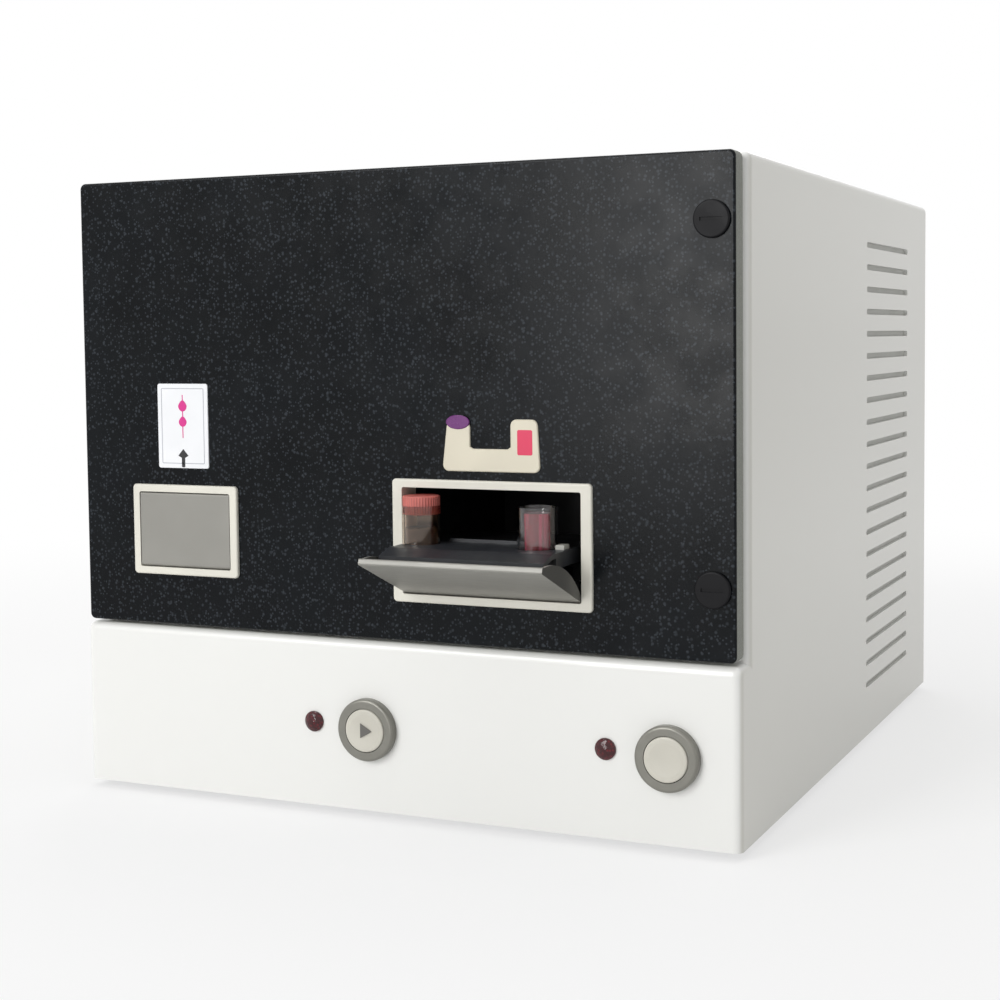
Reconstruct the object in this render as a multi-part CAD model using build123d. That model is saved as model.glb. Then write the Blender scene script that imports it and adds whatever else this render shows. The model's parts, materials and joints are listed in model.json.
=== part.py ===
from build123d import *
import os
from dataclasses import dataclass
from math import cos, pi, radians, sin

# A bench-top flow cytometer: a housing with a stepped front, a hinged front door with two tube ports,
# and the optics, fluidics, electronics and cooling that it holds.
# Millimetres. X is to the right seen from the front, Z is up, and Y runs from the front face to the back.
# The model is written with Y = 0 on the front face, and save() moves it so that the origin is
# on the floor under the middle of the whole object.

# Housing
body_width = 350.0
body_height = 310.0
body_depth = 400.0
foot_height = 4.0
wall = 2.0
front_wall = 2.5
edge_radius = 4.0
door_setback = 13.5
fascia_top = 86.0
base_sheet = 2.0
rear_sheet = 2.0
rear_inset = 1.0
seat_gap = 0.3

# Front door
door_inset = 2.0
door_thickness = 12.5
door_gap_below = 1.5
door_gap_above = 0.6
door_corner = 3.0
door_edge = 1.2
hinge_inset = 3.0
door_opening_side = 20.0
door_opening_low = 9.0
door_opening_high = 12.0

# Door hinges
hinge_end_distance = 32.5
knuckle_radius = 2.7
knuckle_height = 12.0
knuckle_play = 0.5
hinge_pin_radius = 1.25
hinge_pin_engagement = 9.0
pocket_front = 6.0
pocket_reach = 3.6
arm_width = 3.0
leaf_width = 14.0
leaf_height = 26.0
leaf_thickness = 2.0

# Quarter-turn latches
latch_above_low_edge = 32.0
latch_below_high_edge = 29.4
latch_edge_distance = 10.5
knob_radius = 8.3
knob_proud = 1.6
knob_slot = 1.6
stud_radius = 2.5
cross_bar_length = 12.0
cross_bar_size = 3.0
strike_thickness = 2.0
strike_width = 16.0
strike_height = 24.0
cross_bar_clearance = 1.0

# Fits
running_play = 0.05
slide_play = 0.4

# Ports
tube_port_from_side = 68.6
tube_port_width = 101.0
tube_port_rise = 18.8
tube_port_height = 58.1
check_port_from_side = 32.0
check_port_width = 61.7
check_port_rise = 25.2
check_port_height = 45.3
bezel_proud = 1.8
flap_thickness = 3.0
flap_recess = 0.25
flap_side_gap = 0.5
flap_open_deg = 67.0
flap_pin_radius = 0.9
flap_pin_half_length = 3.4
collar_wall = 1.5
liner_wall = 1.5
liner_lip = 4.0
cheek_thickness = 1.5
cheek_rise = 5.5
deck_thickness = 2.2
deck_lip = 1.5
deck_lip_behind_cups = 9.5
guide_rod_radius = 2.0
guide_rod_rise = 2.6
cup_wall = 1.3
flap_to_nose_gap = 0.5

# Tubes and the clip beside them, measured from the carriers' decks
tube_play = 0.1
tube_wall = 1.2
tube_floor = 1.5
tube_foot_radius = 3.0
capped_tube_rise = 17.7
cap_height = 4.6
cap_plug = 4.0
sleeve_rise = 18.9
sample_radius = 6.1
sample_below_rim = 2.8
check_tube_rise = 14.0
check_cap_height = 3.6
clip_size = (4.2, 6.0, 2.2)

# Push buttons and lights on the fascia
left_button_x = -9.9
right_button_from_side = 33.4
button_drop = 42.3
bezel_radius = 15.0
bezel_rise = 4.2
barrel_radius = 11.7
barrel_length = 20.0
nut_radius = 14.5
nut_thickness = 4.0
cap_radius = 10.3
cap_rise = 4.8
cap_stem_radius = 3.0
button_travel = 3.0
button_play = 0.3
switch_radius = 9.0
switch_length = 16.0
light_to_button = 29.9
light_drop = 40.9
light_radius = 5.0
light_rise = 1.8
light_stem_radius = 4.0
light_stem_length = 9.0
light_holder_radius = 6.2

# Side louvres
louvre_count = 21
louvre_first = 33.0
louvre_pitch = 12.3
louvre_height = 3.2
louvre_length = 108.0
louvre_from_back = 55.0
screen_margin = 6.0
screen_thickness = 3.0
screen_rim = 3.0

# Feet
foot_radius = 9.0
foot_inset_x = 32.0
foot_inset_y = 38.0

# Fan
fan_from_side = 70.0
fan_from_top = 75.0
fan_size = 80.0
fan_thickness = 25.0
fan_bore = 37.5
fan_hub = 15.0
fan_blades = 7
fan_shaft = 2.0
guard_rings = 4
guard_wire = 1.3

# Mains inlet, rocker switch, data sockets and fluid fittings at the back
inlet_from_side = 43.0
inlet_z = 40.0
inlet_width = 48.0
inlet_height = 27.0
inlet_depth = 24.0
rocker_from_inlet = 44.0
rocker_width = 15.0
rocker_height = 21.0
rocker_tilt_deg = 14.0
socket_from_rocker = 44.0
socket_pitch = 24.0
socket_count = 3
socket_width = 15.0
socket_height = 13.0
socket_depth = 14.0
fitting_from_side = 65.0
fitting_pitch = 25.0
fitting_count = 3
fitting_z = 60.0
fitting_reach = 12.0
fitting_radius = 4.0
fitting_bore = 1.5

# Optical bench and what stands on it
bench_low = 176.0
bench_thickness = 8.0
bench_from_left = 51.0
bench_from_right = 21.0
bench_behind_port = 22.75
bench_post_radius = 5.0
bench_post_inset = 9.0
bench_post_foot = 9.0
beam_rise = 28.0
beam_from_front = 128.0
cell_from_middle = 3.0
cell_size = 10.0
cell_low = 10.0
cell_high = 52.0
mount_size = 30.0
mount_height = 62.0
mount_window = 20.0
laser_length = 70.0
laser_width = 44.0
laser_height = 40.0
laser_to_cell = 56.0
laser_nose = 6.0
fin_pitch = 6.0
fin_gap = 3.0
fin_depth = 6.0
fin_count = 10
lens_radius = 8.0
lens_holder_size = (8.0, 28.0)
lens_to_cell = (42.0, 24.0)
detector_radius = 12.0
detector_length = 36.0
detector_pitch = 46.0
detector_count = 3
detector_from_front = 20.0
forward_detector_gap = 40.0
filter_size = 28.0
filter_bore = 9.0
filter_gap = 6.0

# Power supply and main board
supply_size = (128.0, 80.0, 50.0)
supply_from_bench_left = 20.0
supply_slots = (13, 2)
board_size = (150.0, 100.0, 1.6)
board_rise = 8.0
board_behind_bottles = 5.0
board_post_inset = 6.0

# Syringe pump
pump_to_wall = 5.0
pump_y = 240.0
pump_half_width = 18.0
pump_half_depth = 22.0
pump_motor_height = 34.0
pump_back_thickness = 6.0
pump_shelf_thickness = 6.0
pump_screw_offset = 9.0
pump_rod_offset = -10.0
syringe_travel = 30.0
screw_radius = 3.0
screw_thread_radius = 3.6
screw_pitch = 2.4
driver_height = 10.0
driver_start = 6.0
rod_radius = 3.0
piston_radius = 6.2
piston_length = 6.0
barrel_wall = 1.8
barrel_nose = 8.0

# Peristaltic pump
roller_from_bench_left = 52.0
roller_behind_bench_edge = 2.0
roller_drop = 28.0
roller_head = 52.0
roller_head_depth = 22.0
roller_bore = 20.0
roller_motor_radius = 17.0
roller_motor_length = 40.0
roller_orbit = 12.0
roller_radius = 4.5
roller_shaft = 2.0

# Bottles
bottle_radius = 27.0
bottle_height = 66.0
bottle_to_wall = 24.0
bottle_pitch = 64.0
bottle_y = 72.0
bottle_neck = 4.0
bottle_cap_height = 12.0

# Valve manifold
manifold_size = (110.0, 26.0, 26.0)
manifold_from_front = 70.0
valve_count = 4
valve_pitch = 27.0
valve_radius = 9.0
valve_length = 24.0

# What follows from the sizes above
half_width = body_width / 2
inner_side = half_width - wall
door_low = fascia_top + door_gap_below
door_high = body_height - door_gap_above
hinge_x = -(half_width - door_inset) + hinge_inset
hinge_y = door_thickness - hinge_inset
hinge_heights = (door_low + hinge_end_distance, door_high - hinge_end_distance)
flange_back = door_setback + front_wall
latch_x = half_width - latch_edge_distance - door_inset
latch_heights = (door_low + latch_above_low_edge, door_high - latch_below_high_edge)
button_z = fascia_top - button_drop
button_places = ((left_button_x, button_z), (half_width - right_button_from_side, button_z))
light_places = tuple((x - light_to_button, fascia_top - light_drop) for x, z in button_places)
floor_top = foot_height + base_sheet
rear_face = body_depth - rear_inset
rear_inner = rear_face - rear_sheet
fan_x = half_width - fan_from_side
fan_z = body_height - fan_from_top
inlet_x = -half_width + inlet_from_side
rocker_x = inlet_x + rocker_from_inlet
socket_x = tuple(rocker_x + socket_from_rocker + socket_pitch * i for i in range(socket_count))
fitting_x = tuple(half_width - fitting_from_side - fitting_pitch * i for i in range(fitting_count))
bench_top = bench_low + bench_thickness
roller_z = bench_low - roller_drop
pump_x = inner_side - pump_to_wall - pump_half_width
bottle_x = tuple(-inner_side + bottle_to_wall + bottle_radius + bottle_pitch * i for i in range(2))
pump_floor = floor_top + pump_motor_height
driver_low = pump_floor + driver_start
shelf_low = driver_low + driver_height + syringe_travel + 22.0
barrel_low = shelf_low + pump_shelf_thickness
barrel_top = barrel_low + piston_length + syringe_travel + 5.0
flap_axis_y = -bezel_proud + flap_recess + flap_thickness / 2
flap_axis_rise = flap_thickness / 2 + slide_play


@dataclass
class Port:
    """An opening in the door with its own flap and its own sliding tube carrier."""
    name: str
    left: float
    right: float
    low: float
    high: float
    bar_side: float
    bar_ends: float
    starts_open: bool
    nose_reach: float
    nose_back: float
    nose_under: float
    nose_top: float
    nose_slope: float
    deck_rise: float
    carrier_length: float
    carrier_left_gap: float
    carrier_right_gap: float
    cups: tuple

    @property
    def x0(self):
        return self.left + self.bar_side

    @property
    def x1(self):
        return self.right - self.bar_side

    @property
    def z0(self):
        return self.low + self.bar_ends

    @property
    def z1(self):
        return self.high - self.bar_ends

    @property
    def axis_z(self):
        return self.z0 + flap_axis_rise

    @property
    def flap_length(self):
        return self.z1 - flap_side_gap - self.axis_z

    @property
    def travel(self):
        return self.nose_reach + self.nose_back

    @property
    def nose_y(self):
        """Where the carrier's tip stands at rest: out with an open flap, back with a closed one."""
        return flap_axis_y - (self.nose_reach if self.starts_open else -self.nose_back)

    @property
    def tail_y(self):
        return self.nose_y + self.carrier_length

    @property
    def liner_back(self):
        retracted = self.tail_y + (self.travel if self.starts_open else 0.0)
        return retracted + 3.0


tube_left = half_width - tube_port_from_side - tube_port_width
check_left = -half_width + check_port_from_side
tube_port = Port(
    name="right", left=tube_left, right=tube_left + tube_port_width, low=door_low + tube_port_rise,
    high=door_low + tube_port_rise + tube_port_height, bar_side=5.2, bar_ends=3.9,
    starts_open=True, nose_reach=30.0, nose_back=24.0, nose_under=17.5, nose_top=19.6, nose_slope=10.0,
    deck_rise=22.4, carrier_length=86.0, carrier_left_gap=3.0, carrier_right_gap=6.0,
    cups=((tube_left + 15.2, 29.0, 9.1), (tube_left + 74.2, 29.0, 9.5)),
)
check_port = Port(
    name="left", left=check_left, right=check_left + check_port_width, low=door_low + check_port_rise,
    high=door_low + check_port_rise + check_port_height, bar_side=4.0, bar_ends=3.7,
    starts_open=False, nose_reach=18.0, nose_back=20.0, nose_under=11.5, nose_top=13.4, nose_slope=7.0,
    deck_rise=15.5, carrier_length=62.0, carrier_left_gap=3.0, carrier_right_gap=3.0,
    cups=((check_left + check_port_width / 2, 24.0, 6.3),),
)
ports = (check_port, tube_port)

flap_reach = tube_port.flap_length * sin(radians(flap_open_deg)) - flap_axis_y
flap_reach += flap_thickness / 2 * cos(radians(flap_open_deg))
rear_reach = fitting_reach - rear_inset
origin_y = (body_depth + rear_reach - flap_reach) / 2

bench_x = (-inner_side + bench_from_left, inner_side - bench_from_right)
bench_y = (tube_port.liner_back + bench_behind_port, rear_inner - fan_thickness)
cell_x = (bench_x[0] + bench_x[1]) / 2 + cell_from_middle
beam_y = bench_y[0] + beam_from_front
beam_z = bench_top + beam_rise
roller_x = bench_x[0] + roller_from_bench_left
roller_y = bench_y[0] + roller_behind_bench_edge


def save(node, shape):
    """Write one sub-part, moved to the shared origin under the middle of the object."""
    export_step(Pos(0, -origin_y, 0) * shape, f"parts/{node}.step")


def block(x0, x1, y0, y1, z0, z1):
    """A box between two corners."""
    return Pos((x0 + x1) / 2, (y0 + y1) / 2, (z0 + z1) / 2) * Box(x1 - x0, y1 - y0, z1 - z0)


def rod_x(x0, x1, y, z, radius):
    return Pos((x0 + x1) / 2, y, z) * Rot(0, 90, 0) * Cylinder(radius, x1 - x0)


def rod_y(x, y0, y1, z, radius):
    return Pos(x, (y0 + y1) / 2, z) * Rot(90, 0, 0) * Cylinder(radius, y1 - y0)


def rod_z(x, y, z0, z1, radius):
    return Pos(x, y, (z0 + z1) / 2) * Cylinder(radius, z1 - z0)


def plate(x0, x1, z0, z1, radius, y0, y1):
    """A plate that faces the front, with rounded corners."""
    outline = Plane.XZ * RectangleRounded(x1 - x0, z1 - z0, radius)
    return Pos((x0 + x1) / 2, y1, (z0 + z1) / 2) * extrude(outline, y1 - y0)


def side_profile(points, x0, x1):
    """A closed outline of (y, z) points carried from x0 to x1."""
    face = Plane.YZ * make_face(Polyline(*points, close=True))
    return Pos(x0, 0, 0) * extrude(face, x1 - x0)


def at_flap_angle(shape, port, angle):
    """Turn a closed flap's shape about its hinge, with its top edge going out and down."""
    hinge = Pos(0, flap_axis_y, port.axis_z)
    return hinge * Rot(angle, 0, 0) * hinge.inverse() * shape


def rounded_box(x0, x1, y0, y1, z0, z1, radius):
    """A box whose front, top and long edges are rounded, with a square back and a square foot."""
    solid = block(x0, x1, y0, y1, z0, z1)
    front = solid.edges().filter_by(lambda e: e.center().Y < y0 + 0.01 and e.center().Z > z0 + 0.01)
    sides = solid.edges().filter_by(Axis.Y).filter_by(lambda e: e.center().Z > z1 - 0.01)
    return fillet(front + sides, radius)


def housing_shell():
    """One moulding: top, sides, a recessed frame for the door and the white fascia below it."""
    upper = rounded_box(-half_width, half_width, door_setback, body_depth,
                        foot_height, body_height, edge_radius)
    lower = rounded_box(-half_width, half_width, 0, door_setback + 3 * edge_radius,
                        foot_height, fascia_top, edge_radius)
    shell = upper + lower
    inner = inner_side
    shell -= block(-inner, inner, flange_back, body_depth + 1, foot_height - 1, body_height - wall)
    shell -= block(-inner, inner, front_wall, flange_back + 1, foot_height - 1, fascia_top - front_wall)
    mouth = half_width - door_opening_side
    shell -= plate(-mouth, mouth, fascia_top + door_opening_low, body_height - door_opening_high,
                   6, door_setback - 1, flange_back + 1)
    for x, z in button_places:
        shell -= rod_y(x, -1, front_wall + 1, z, barrel_radius)
    for x, z in light_places:
        shell -= rod_y(x, -1, front_wall + 1, z, light_stem_radius)
    for z in latch_heights:
        shell -= cross_slot(z, door_setback - 1, flange_back + 1)
    for z in hinge_heights:
        slot = knuckle_height / 2 + knuckle_play
        shell -= block(hinge_x - arm_width / 2 - 0.3, hinge_x + arm_width / 2 + 0.3,
                       door_setback - 1, flange_back + 1, z - slot, z + slot)
    louvre = Plane.YZ * SlotOverall(louvre_length, louvre_height)
    y = body_depth - louvre_from_back - louvre_length / 2
    cuts = [
        Pos(-half_width - 1, y, louvre_first + louvre_pitch * i) * extrude(louvre, body_width + 2)
        for i in range(louvre_count)
    ]
    return shell - cuts


def louvre_screens():
    """A dust screen in a raised rim against the wall behind each column of louvres."""
    y1 = body_depth - louvre_from_back + screen_margin
    y0 = y1 - louvre_length - 2 * screen_margin
    z0 = louvre_first - louvre_height / 2 - screen_margin
    z1 = louvre_first + louvre_pitch * (louvre_count - 1) + louvre_height / 2 + screen_margin
    rim = screen_thickness / 2
    screen = block(-screen_thickness, 0, y0, y1, z0, z1)
    screen -= block(-screen_thickness - 1, -rim, y0 + screen_rim, y1 - screen_rim,
                    z0 + screen_rim, z1 - screen_rim)
    screen = fillet(screen.edges().filter_by(Axis.X), 1)
    return Compound([Pos(inner_side, 0, 0) * screen, Pos(-inner_side, 0, 0) * Rot(0, 0, 180)
                     * Pos(0, -y0 - y1, 0) * screen])


def cross_slot(z, y0, y1):
    """The slot that lets a latch's cross bar through when it lies level."""
    return block(latch_x - cross_bar_length / 2 - cross_bar_clearance,
                 latch_x + cross_bar_length / 2 + cross_bar_clearance, y0, y1,
                 z - stud_radius - cross_bar_clearance, z + stud_radius + cross_bar_clearance)


def base_tray():
    """A folded sheet that closes the bottom, with a lip on each side inside the housing."""
    side = inner_side - seat_gap
    front = front_wall + seat_gap
    back = rear_inner - seat_gap
    tray = block(-side, side, front, back, foot_height, floor_top)
    lip = 16.0
    for x0, x1 in ((-side, -side + base_sheet), (side - base_sheet, side)):
        tray += block(x0, x1, flange_back + 2, back, foot_height, foot_height + lip)
    tray += block(-side, side, back - base_sheet, back, foot_height, foot_height + 0.75 * lip)
    slot = Plane.XY * SlotOverall(46, 3)
    vents = [
        Pos(x, 215 + 9 * i, foot_height - 1) * extrude(slot, base_sheet + 2)
        for i in range(3) for x in (-45, 25)
    ]
    return tray - vents


def rubber_feet():
    feet = []
    for x in (-half_width + foot_inset_x, half_width - foot_inset_x):
        for y in (foot_inset_y, body_depth - foot_inset_y):
            foot = Pos(x, y, foot_height / 2) * Cone(foot_radius - 1, foot_radius, foot_height)
            feet.append(foot)
    return Compound(feet)


def door_panel():
    """The black front door, cut for the ports, the hinge knuckles and the latch studs."""
    x0, x1 = -half_width + door_inset, half_width - door_inset
    z0, z1 = door_low, door_high
    door = plate(x0, x1, z0, z1, door_corner, 0, door_thickness)
    rear_left = door.edges().filter_by(Axis.Z)
    rear_left = rear_left.filter_by(lambda e: e.center().Y > door_thickness - 0.01 and e.center().X < x0 + 0.01)
    door = fillet(rear_left, hinge_inset - 0.01)
    rim = door.faces().sort_by(Axis.Y)[0].edges()
    door = fillet(rim, door_edge)
    for port in ports:
        door -= plate(port.x0 - collar_wall, port.x1 + collar_wall, port.z0 - collar_wall,
                      port.z1 + collar_wall, collar_wall, -1, door_thickness + 1)
        reach = flap_side_gap + flap_pin_half_length
        door -= rod_x(port.x0 - reach, port.x1 + reach, flap_axis_y, port.axis_z, flap_pin_radius)
    for z in hinge_heights:
        half = knuckle_height / 2 + knuckle_play
        door -= block(x0 - 1, hinge_x + pocket_reach, pocket_front, door_thickness + 1, z - half, z + half)
        door -= rod_z(hinge_x, hinge_y, z - half - hinge_pin_engagement, z + half + hinge_pin_engagement,
                      hinge_pin_radius)
    for z in latch_heights:
        door -= rod_y(latch_x, -1, door_thickness + 1, z, stud_radius + running_play)
    return door


def hinge_brackets():
    """Leaves behind the housing's flange, each with an arm to a knuckle inside the door's edge."""
    brackets = []
    for z in hinge_heights:
        half = knuckle_height / 2
        arm = block(hinge_x - arm_width / 2, hinge_x + arm_width / 2, hinge_y, flange_back + 0.5,
                    z - half, z + half)
        leaf = block(hinge_x - arm_width / 2, hinge_x - arm_width / 2 + leaf_width, flange_back,
                     flange_back + leaf_thickness, z - leaf_height / 2, z + leaf_height / 2)
        bracket = arm + leaf + rod_z(hinge_x, hinge_y, z - half, z + half, knuckle_radius)
        brackets.append(bracket - rod_z(hinge_x, hinge_y, z - 20, z + 20, hinge_pin_radius + running_play))
    return Compound(brackets)


def hinge_pins():
    """The door's two upright pins and the short level pins at both ends of each flap."""
    half = knuckle_height / 2 + knuckle_play + hinge_pin_engagement
    pins = [rod_z(hinge_x, hinge_y, z - half, z + half, hinge_pin_radius) for z in hinge_heights]
    for port in ports:
        reach = flap_side_gap + flap_pin_half_length
        for end in (port.x0, port.x1):
            pins.append(rod_x(end - reach, end + reach, flap_axis_y, port.axis_z, flap_pin_radius))
    return Compound(pins)


def latch(z):
    """A low round knob with a coin slot, keyed on its stud."""
    knob = rod_y(latch_x, -knob_proud - seat_gap, -seat_gap, z, knob_radius)
    knob = fillet(knob.faces().sort_by(Axis.Y)[0].edges(), 0.8)
    knob -= block(latch_x - knob_radius * 0.62, latch_x + knob_radius * 0.62,
                  -knob_proud - 1, -knob_proud - seat_gap + 0.6, z - knob_slot / 2, z + knob_slot / 2)
    return knob + latch_stud(z)


def latch_stud(z):
    """The stud behind a knob, with the cross bar that turns behind the strike."""
    bar_y = flange_back + strike_thickness + 0.6
    stud = rod_y(latch_x, -seat_gap, bar_y + cross_bar_size, z, stud_radius)
    half = cross_bar_length / 2
    bar = block(latch_x - half, latch_x + half, bar_y, bar_y + cross_bar_size,
                z - cross_bar_size / 2, z + cross_bar_size / 2)
    return stud + bar


def latch_strikes():
    strikes = []
    for z in latch_heights:
        strike = block(latch_x - strike_width / 2, latch_x + strike_width / 2, flange_back,
                       flange_back + strike_thickness, z - strike_height / 2, z + strike_height / 2)
        strikes.append(strike - cross_slot(z, flange_back - 1, flange_back + strike_thickness + 1))
    return Compound(strikes)


def port_bezel(port):
    """A thin frame on the door's face with a collar through the door."""
    frame = plate(port.left, port.right, port.low, port.high, 2.0, -bezel_proud, 0)
    frame = fillet(frame.faces().sort_by(Axis.Y)[0].edges(), 0.9)
    frame += plate(port.x0 - collar_wall, port.x1 + collar_wall, port.z0 - collar_wall,
                   port.z1 + collar_wall, collar_wall, 0, door_thickness)
    frame -= plate(port.x0, port.x1, port.z0, port.z1, 1.0, -bezel_proud - 1, door_thickness + 1)
    reach = flap_side_gap + flap_pin_half_length
    frame -= rod_x(port.x0 - reach, port.x1 + reach, flap_axis_y, port.axis_z, flap_pin_radius)
    return frame


def port_liner(port):
    """The tray-shaped well behind the door that the carrier slides in."""
    x0, x1, z0, z1 = port.x0, port.x1, port.z0, port.z1
    y0, y1 = door_thickness, port.liner_back
    w = liner_wall
    liner = block(x0 - w, x1 + w, y0, y1 + w, z0 - w, z1 + w)
    liner += block(x0 - liner_lip, x1 + liner_lip, y0, y0 + w, z0 - liner_lip, z1 + liner_lip)
    liner -= block(x0, x1, y0 - 1, y1, z0, z1)
    for x in guide_rod_places(port):
        tab = block(x - 4, x + 4, y0, y0 + 3.5, z0, port.axis_z + guide_rod_rise + guide_rod_radius + 1)
        liner += tab
        liner -= rod_y(x, y0 - 1, y1 + w + 1, port.axis_z + guide_rod_rise, guide_rod_radius)
    for x, setback, radius in port.cups:
        y = port.nose_y + setback + (port.travel if port.starts_open else 0)
        liner -= rod_z(x, y, z1 - 1, z1 + w + 1, radius)
    return liner


def guide_rod_places(port):
    return (port.x0 + port.carrier_left_gap + 5.0, port.x1 - port.carrier_right_gap - 5.0)


def guide_rods():
    rods = []
    for port in ports:
        for x in guide_rod_places(port):
            rods.append(rod_y(x, door_thickness, port.liner_back + liner_wall,
                              port.axis_z + guide_rod_rise, guide_rod_radius))
    return Compound(rods)


def port_flap(port):
    """A flat lid with a rounded hinge edge and a low curved cheek at each end."""
    x0, x1 = port.x0 + flap_side_gap, port.x1 - flap_side_gap
    half = flap_thickness / 2
    top = port.axis_z + port.flap_length
    flap = block(x0, x1, flap_axis_y - half, flap_axis_y + half, port.axis_z, top)
    outer_top = flap.edges().filter_by(Axis.X).sort_by(Axis.Z)[-2:]
    flap = fillet(outer_top, 0.8)
    flap += rod_x(x0, x1, flap_axis_y, port.axis_z, half)
    inner_y = flap_axis_y + half
    low, high = port.axis_z + 2.5, top - 1.5
    rim = ThreePointArc((inner_y, low), (inner_y + cheek_rise, low + 0.4 * (high - low)), (inner_y, high))
    cheek = Plane.YZ * make_face(rim + Line((inner_y, high), (inner_y, low)))
    flap += Pos(x0, 0, 0) * extrude(cheek, cheek_thickness)
    flap += Pos(x1 - cheek_thickness, 0, 0) * extrude(cheek, cheek_thickness)
    depth = flap_pin_half_length + 0.3
    for start, end in ((x0 - 1, x0 + depth), (x1 - depth, x1 + 1)):
        flap -= rod_x(start, end, flap_axis_y, port.axis_z, flap_pin_radius + running_play)
    return at_flap_angle(flap, port, flap_open_deg) if port.starts_open else flap


def clear_of_flap(port, setback):
    """The lowest height above the hinge that clears the open flap, a given way behind the tip."""
    reach = port.nose_reach - setback
    spare = flap_thickness / 2 + flap_to_nose_gap
    return (reach * cos(radians(flap_open_deg)) + spare) / sin(radians(flap_open_deg))


def cup_floor(port, setback, radius):
    return port.axis_z + clear_of_flap(port, setback - radius - cup_wall) + 0.5


def carrier(port):
    """A sliding deck with a sloped nose, a cup for each tube and a block that runs on the rods."""
    x0, x1 = port.x0 + port.carrier_left_gap, port.x1 - port.carrier_right_gap
    tip, tail = port.nose_y, port.tail_y
    hinge = port.axis_z
    deck = hinge + port.deck_rise
    profile = (
        (tip, hinge + port.nose_under),
        (tip, hinge + port.nose_top),
        (tip + port.nose_slope, deck),
        (tail, deck),
        (tail, deck - deck_thickness),
        (tip + port.nose_slope, deck - deck_thickness),
    )
    body = side_profile(profile, x0, x1)
    if port is tube_port:
        (first_x, setback, first_radius), (last_x, _, last_radius) = port.cups
        lip_y = tip + setback + deck_lip_behind_cups
        body += block(first_x + first_radius + 1, last_x - last_radius - 1, lip_y, lip_y + deck_lip,
                      deck - 1, deck + deck_lip)
    for side in (x0, x1 - cup_wall):
        skirt_low = hinge + port.nose_under - 2
        body += block(side, side + cup_wall, tip + port.nose_slope + 4, tail, skirt_low, deck)
    block_front = tail - 24.0
    rod_z0 = hinge + guide_rod_rise
    body += block(x0, x1, block_front, tail, rod_z0 - guide_rod_radius - 1.2, deck)
    body -= block(x0 + 12, x1 - 12, block_front - 1, tail + 1, rod_z0 - 9, deck - deck_thickness - 2)
    for x in guide_rod_places(port):
        body -= rod_y(x, block_front - 1, tail + 1, rod_z0, guide_rod_radius + running_play)
    for x, setback, radius in port.cups:
        y = tip + setback
        low = cup_floor(port, setback, radius)
        body += rod_z(x, y, low, deck, radius + cup_wall)
    for x, setback, radius in port.cups:
        y = tip + setback
        low = cup_floor(port, setback, radius)
        body -= rod_z(x, y, low + cup_wall, deck + 1, radius)
    left_trim = block(x0 - 20, x0, tip - 1, tail + 1, hinge - 5, deck + 1)
    right_trim = block(x1, x1 + 20, tip - 1, tail + 1, hinge - 5, deck + 1)
    body = body - left_trim - right_trim
    return body + carrier_clip() if port is tube_port else body


def tube_seat(port, index):
    """Where a tube stands: its x and y, the cup's floor, the deck and the tube's outer radius."""
    x, setback, radius = port.cups[index]
    floor = cup_floor(port, setback, radius) + cup_wall
    return x, port.nose_y + setback, floor, port.axis_z + port.deck_rise, radius - tube_play


def revolved(points, x, y, z):
    """A solid of revolution about an upright line from (radius, height) points."""
    outline = Plane.XZ * make_face(Polyline(*points, close=True))
    return Pos(x, y, z) * revolve(outline, Axis.Z)


def capped_tube():
    """A clear micro tube with a rounded foot, open above until its cap closes it."""
    x, y, z, deck, outer = tube_seat(tube_port, 0)
    top = deck + capped_tube_rise
    body = rod_z(x, y, z, top, outer)
    body = fillet(body.faces().sort_by(Axis.Z)[0].edges(), tube_foot_radius)
    return body - rod_z(x, y, z + tube_floor, top + 1, outer - tube_wall)


def tube_cap():
    x, y, z, deck, outer = tube_seat(tube_port, 0)
    low = deck + capped_tube_rise
    cap = rod_z(x, y, low, low + cap_height, outer - 0.2)
    cap = fillet(cap.faces().sort_by(Axis.Z)[-1].edges(), 0.7)
    return cap + rod_z(x, y, low - cap_plug, low, outer - tube_wall)


def open_sleeve():
    """The clear sleeve that a slimmer tube stands in."""
    x, y, z, deck, outer = tube_seat(tube_port, 1)
    top = deck + sleeve_rise
    return rod_z(x, y, z, top, outer) - rod_z(x, y, z + tube_floor, top + 1, outer - tube_wall)


def sample_tube():
    """The slim tube of sample inside the sleeve, with a rounded foot."""
    x, y, z, deck, outer = tube_seat(tube_port, 1)
    tube = rod_z(x, y, z + tube_floor, deck + sleeve_rise - sample_below_rim, sample_radius)
    return fillet(tube.faces().sort_by(Axis.Z)[0].edges(), tube_foot_radius)


def check_tube():
    """The short capped tube in the left port's carrier."""
    x, y, z, deck, outer = tube_seat(check_port, 0)
    top = deck + check_tube_rise
    tube = rod_z(x, y, z, top, outer)
    tube = fillet(tube.faces().sort_by(Axis.Z)[0].edges(), 0.8 * tube_foot_radius)
    cap = rod_z(x, y, top, top + check_cap_height, outer + 0.6)
    return tube + fillet(cap.faces().sort_by(Axis.Z)[-1].edges(), 0.6)


def carrier_clip():
    """The small pale tab beside the right tube."""
    x, y, z, deck, outer = tube_seat(tube_port, 1)
    left = x + outer + 0.7
    width, depth, height = clip_size
    clip = block(left, left + width, y - depth / 2, y + depth / 2, deck, deck + height)
    return fillet(clip.faces().sort_by(Axis.Z)[-1].edges(), 0.6)


def button_bezels():
    """Round bezels on the fascia, each with its barrel and the nut behind the wall."""
    return Compound([button_bezel(x, z) for x, z in button_places])


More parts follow.
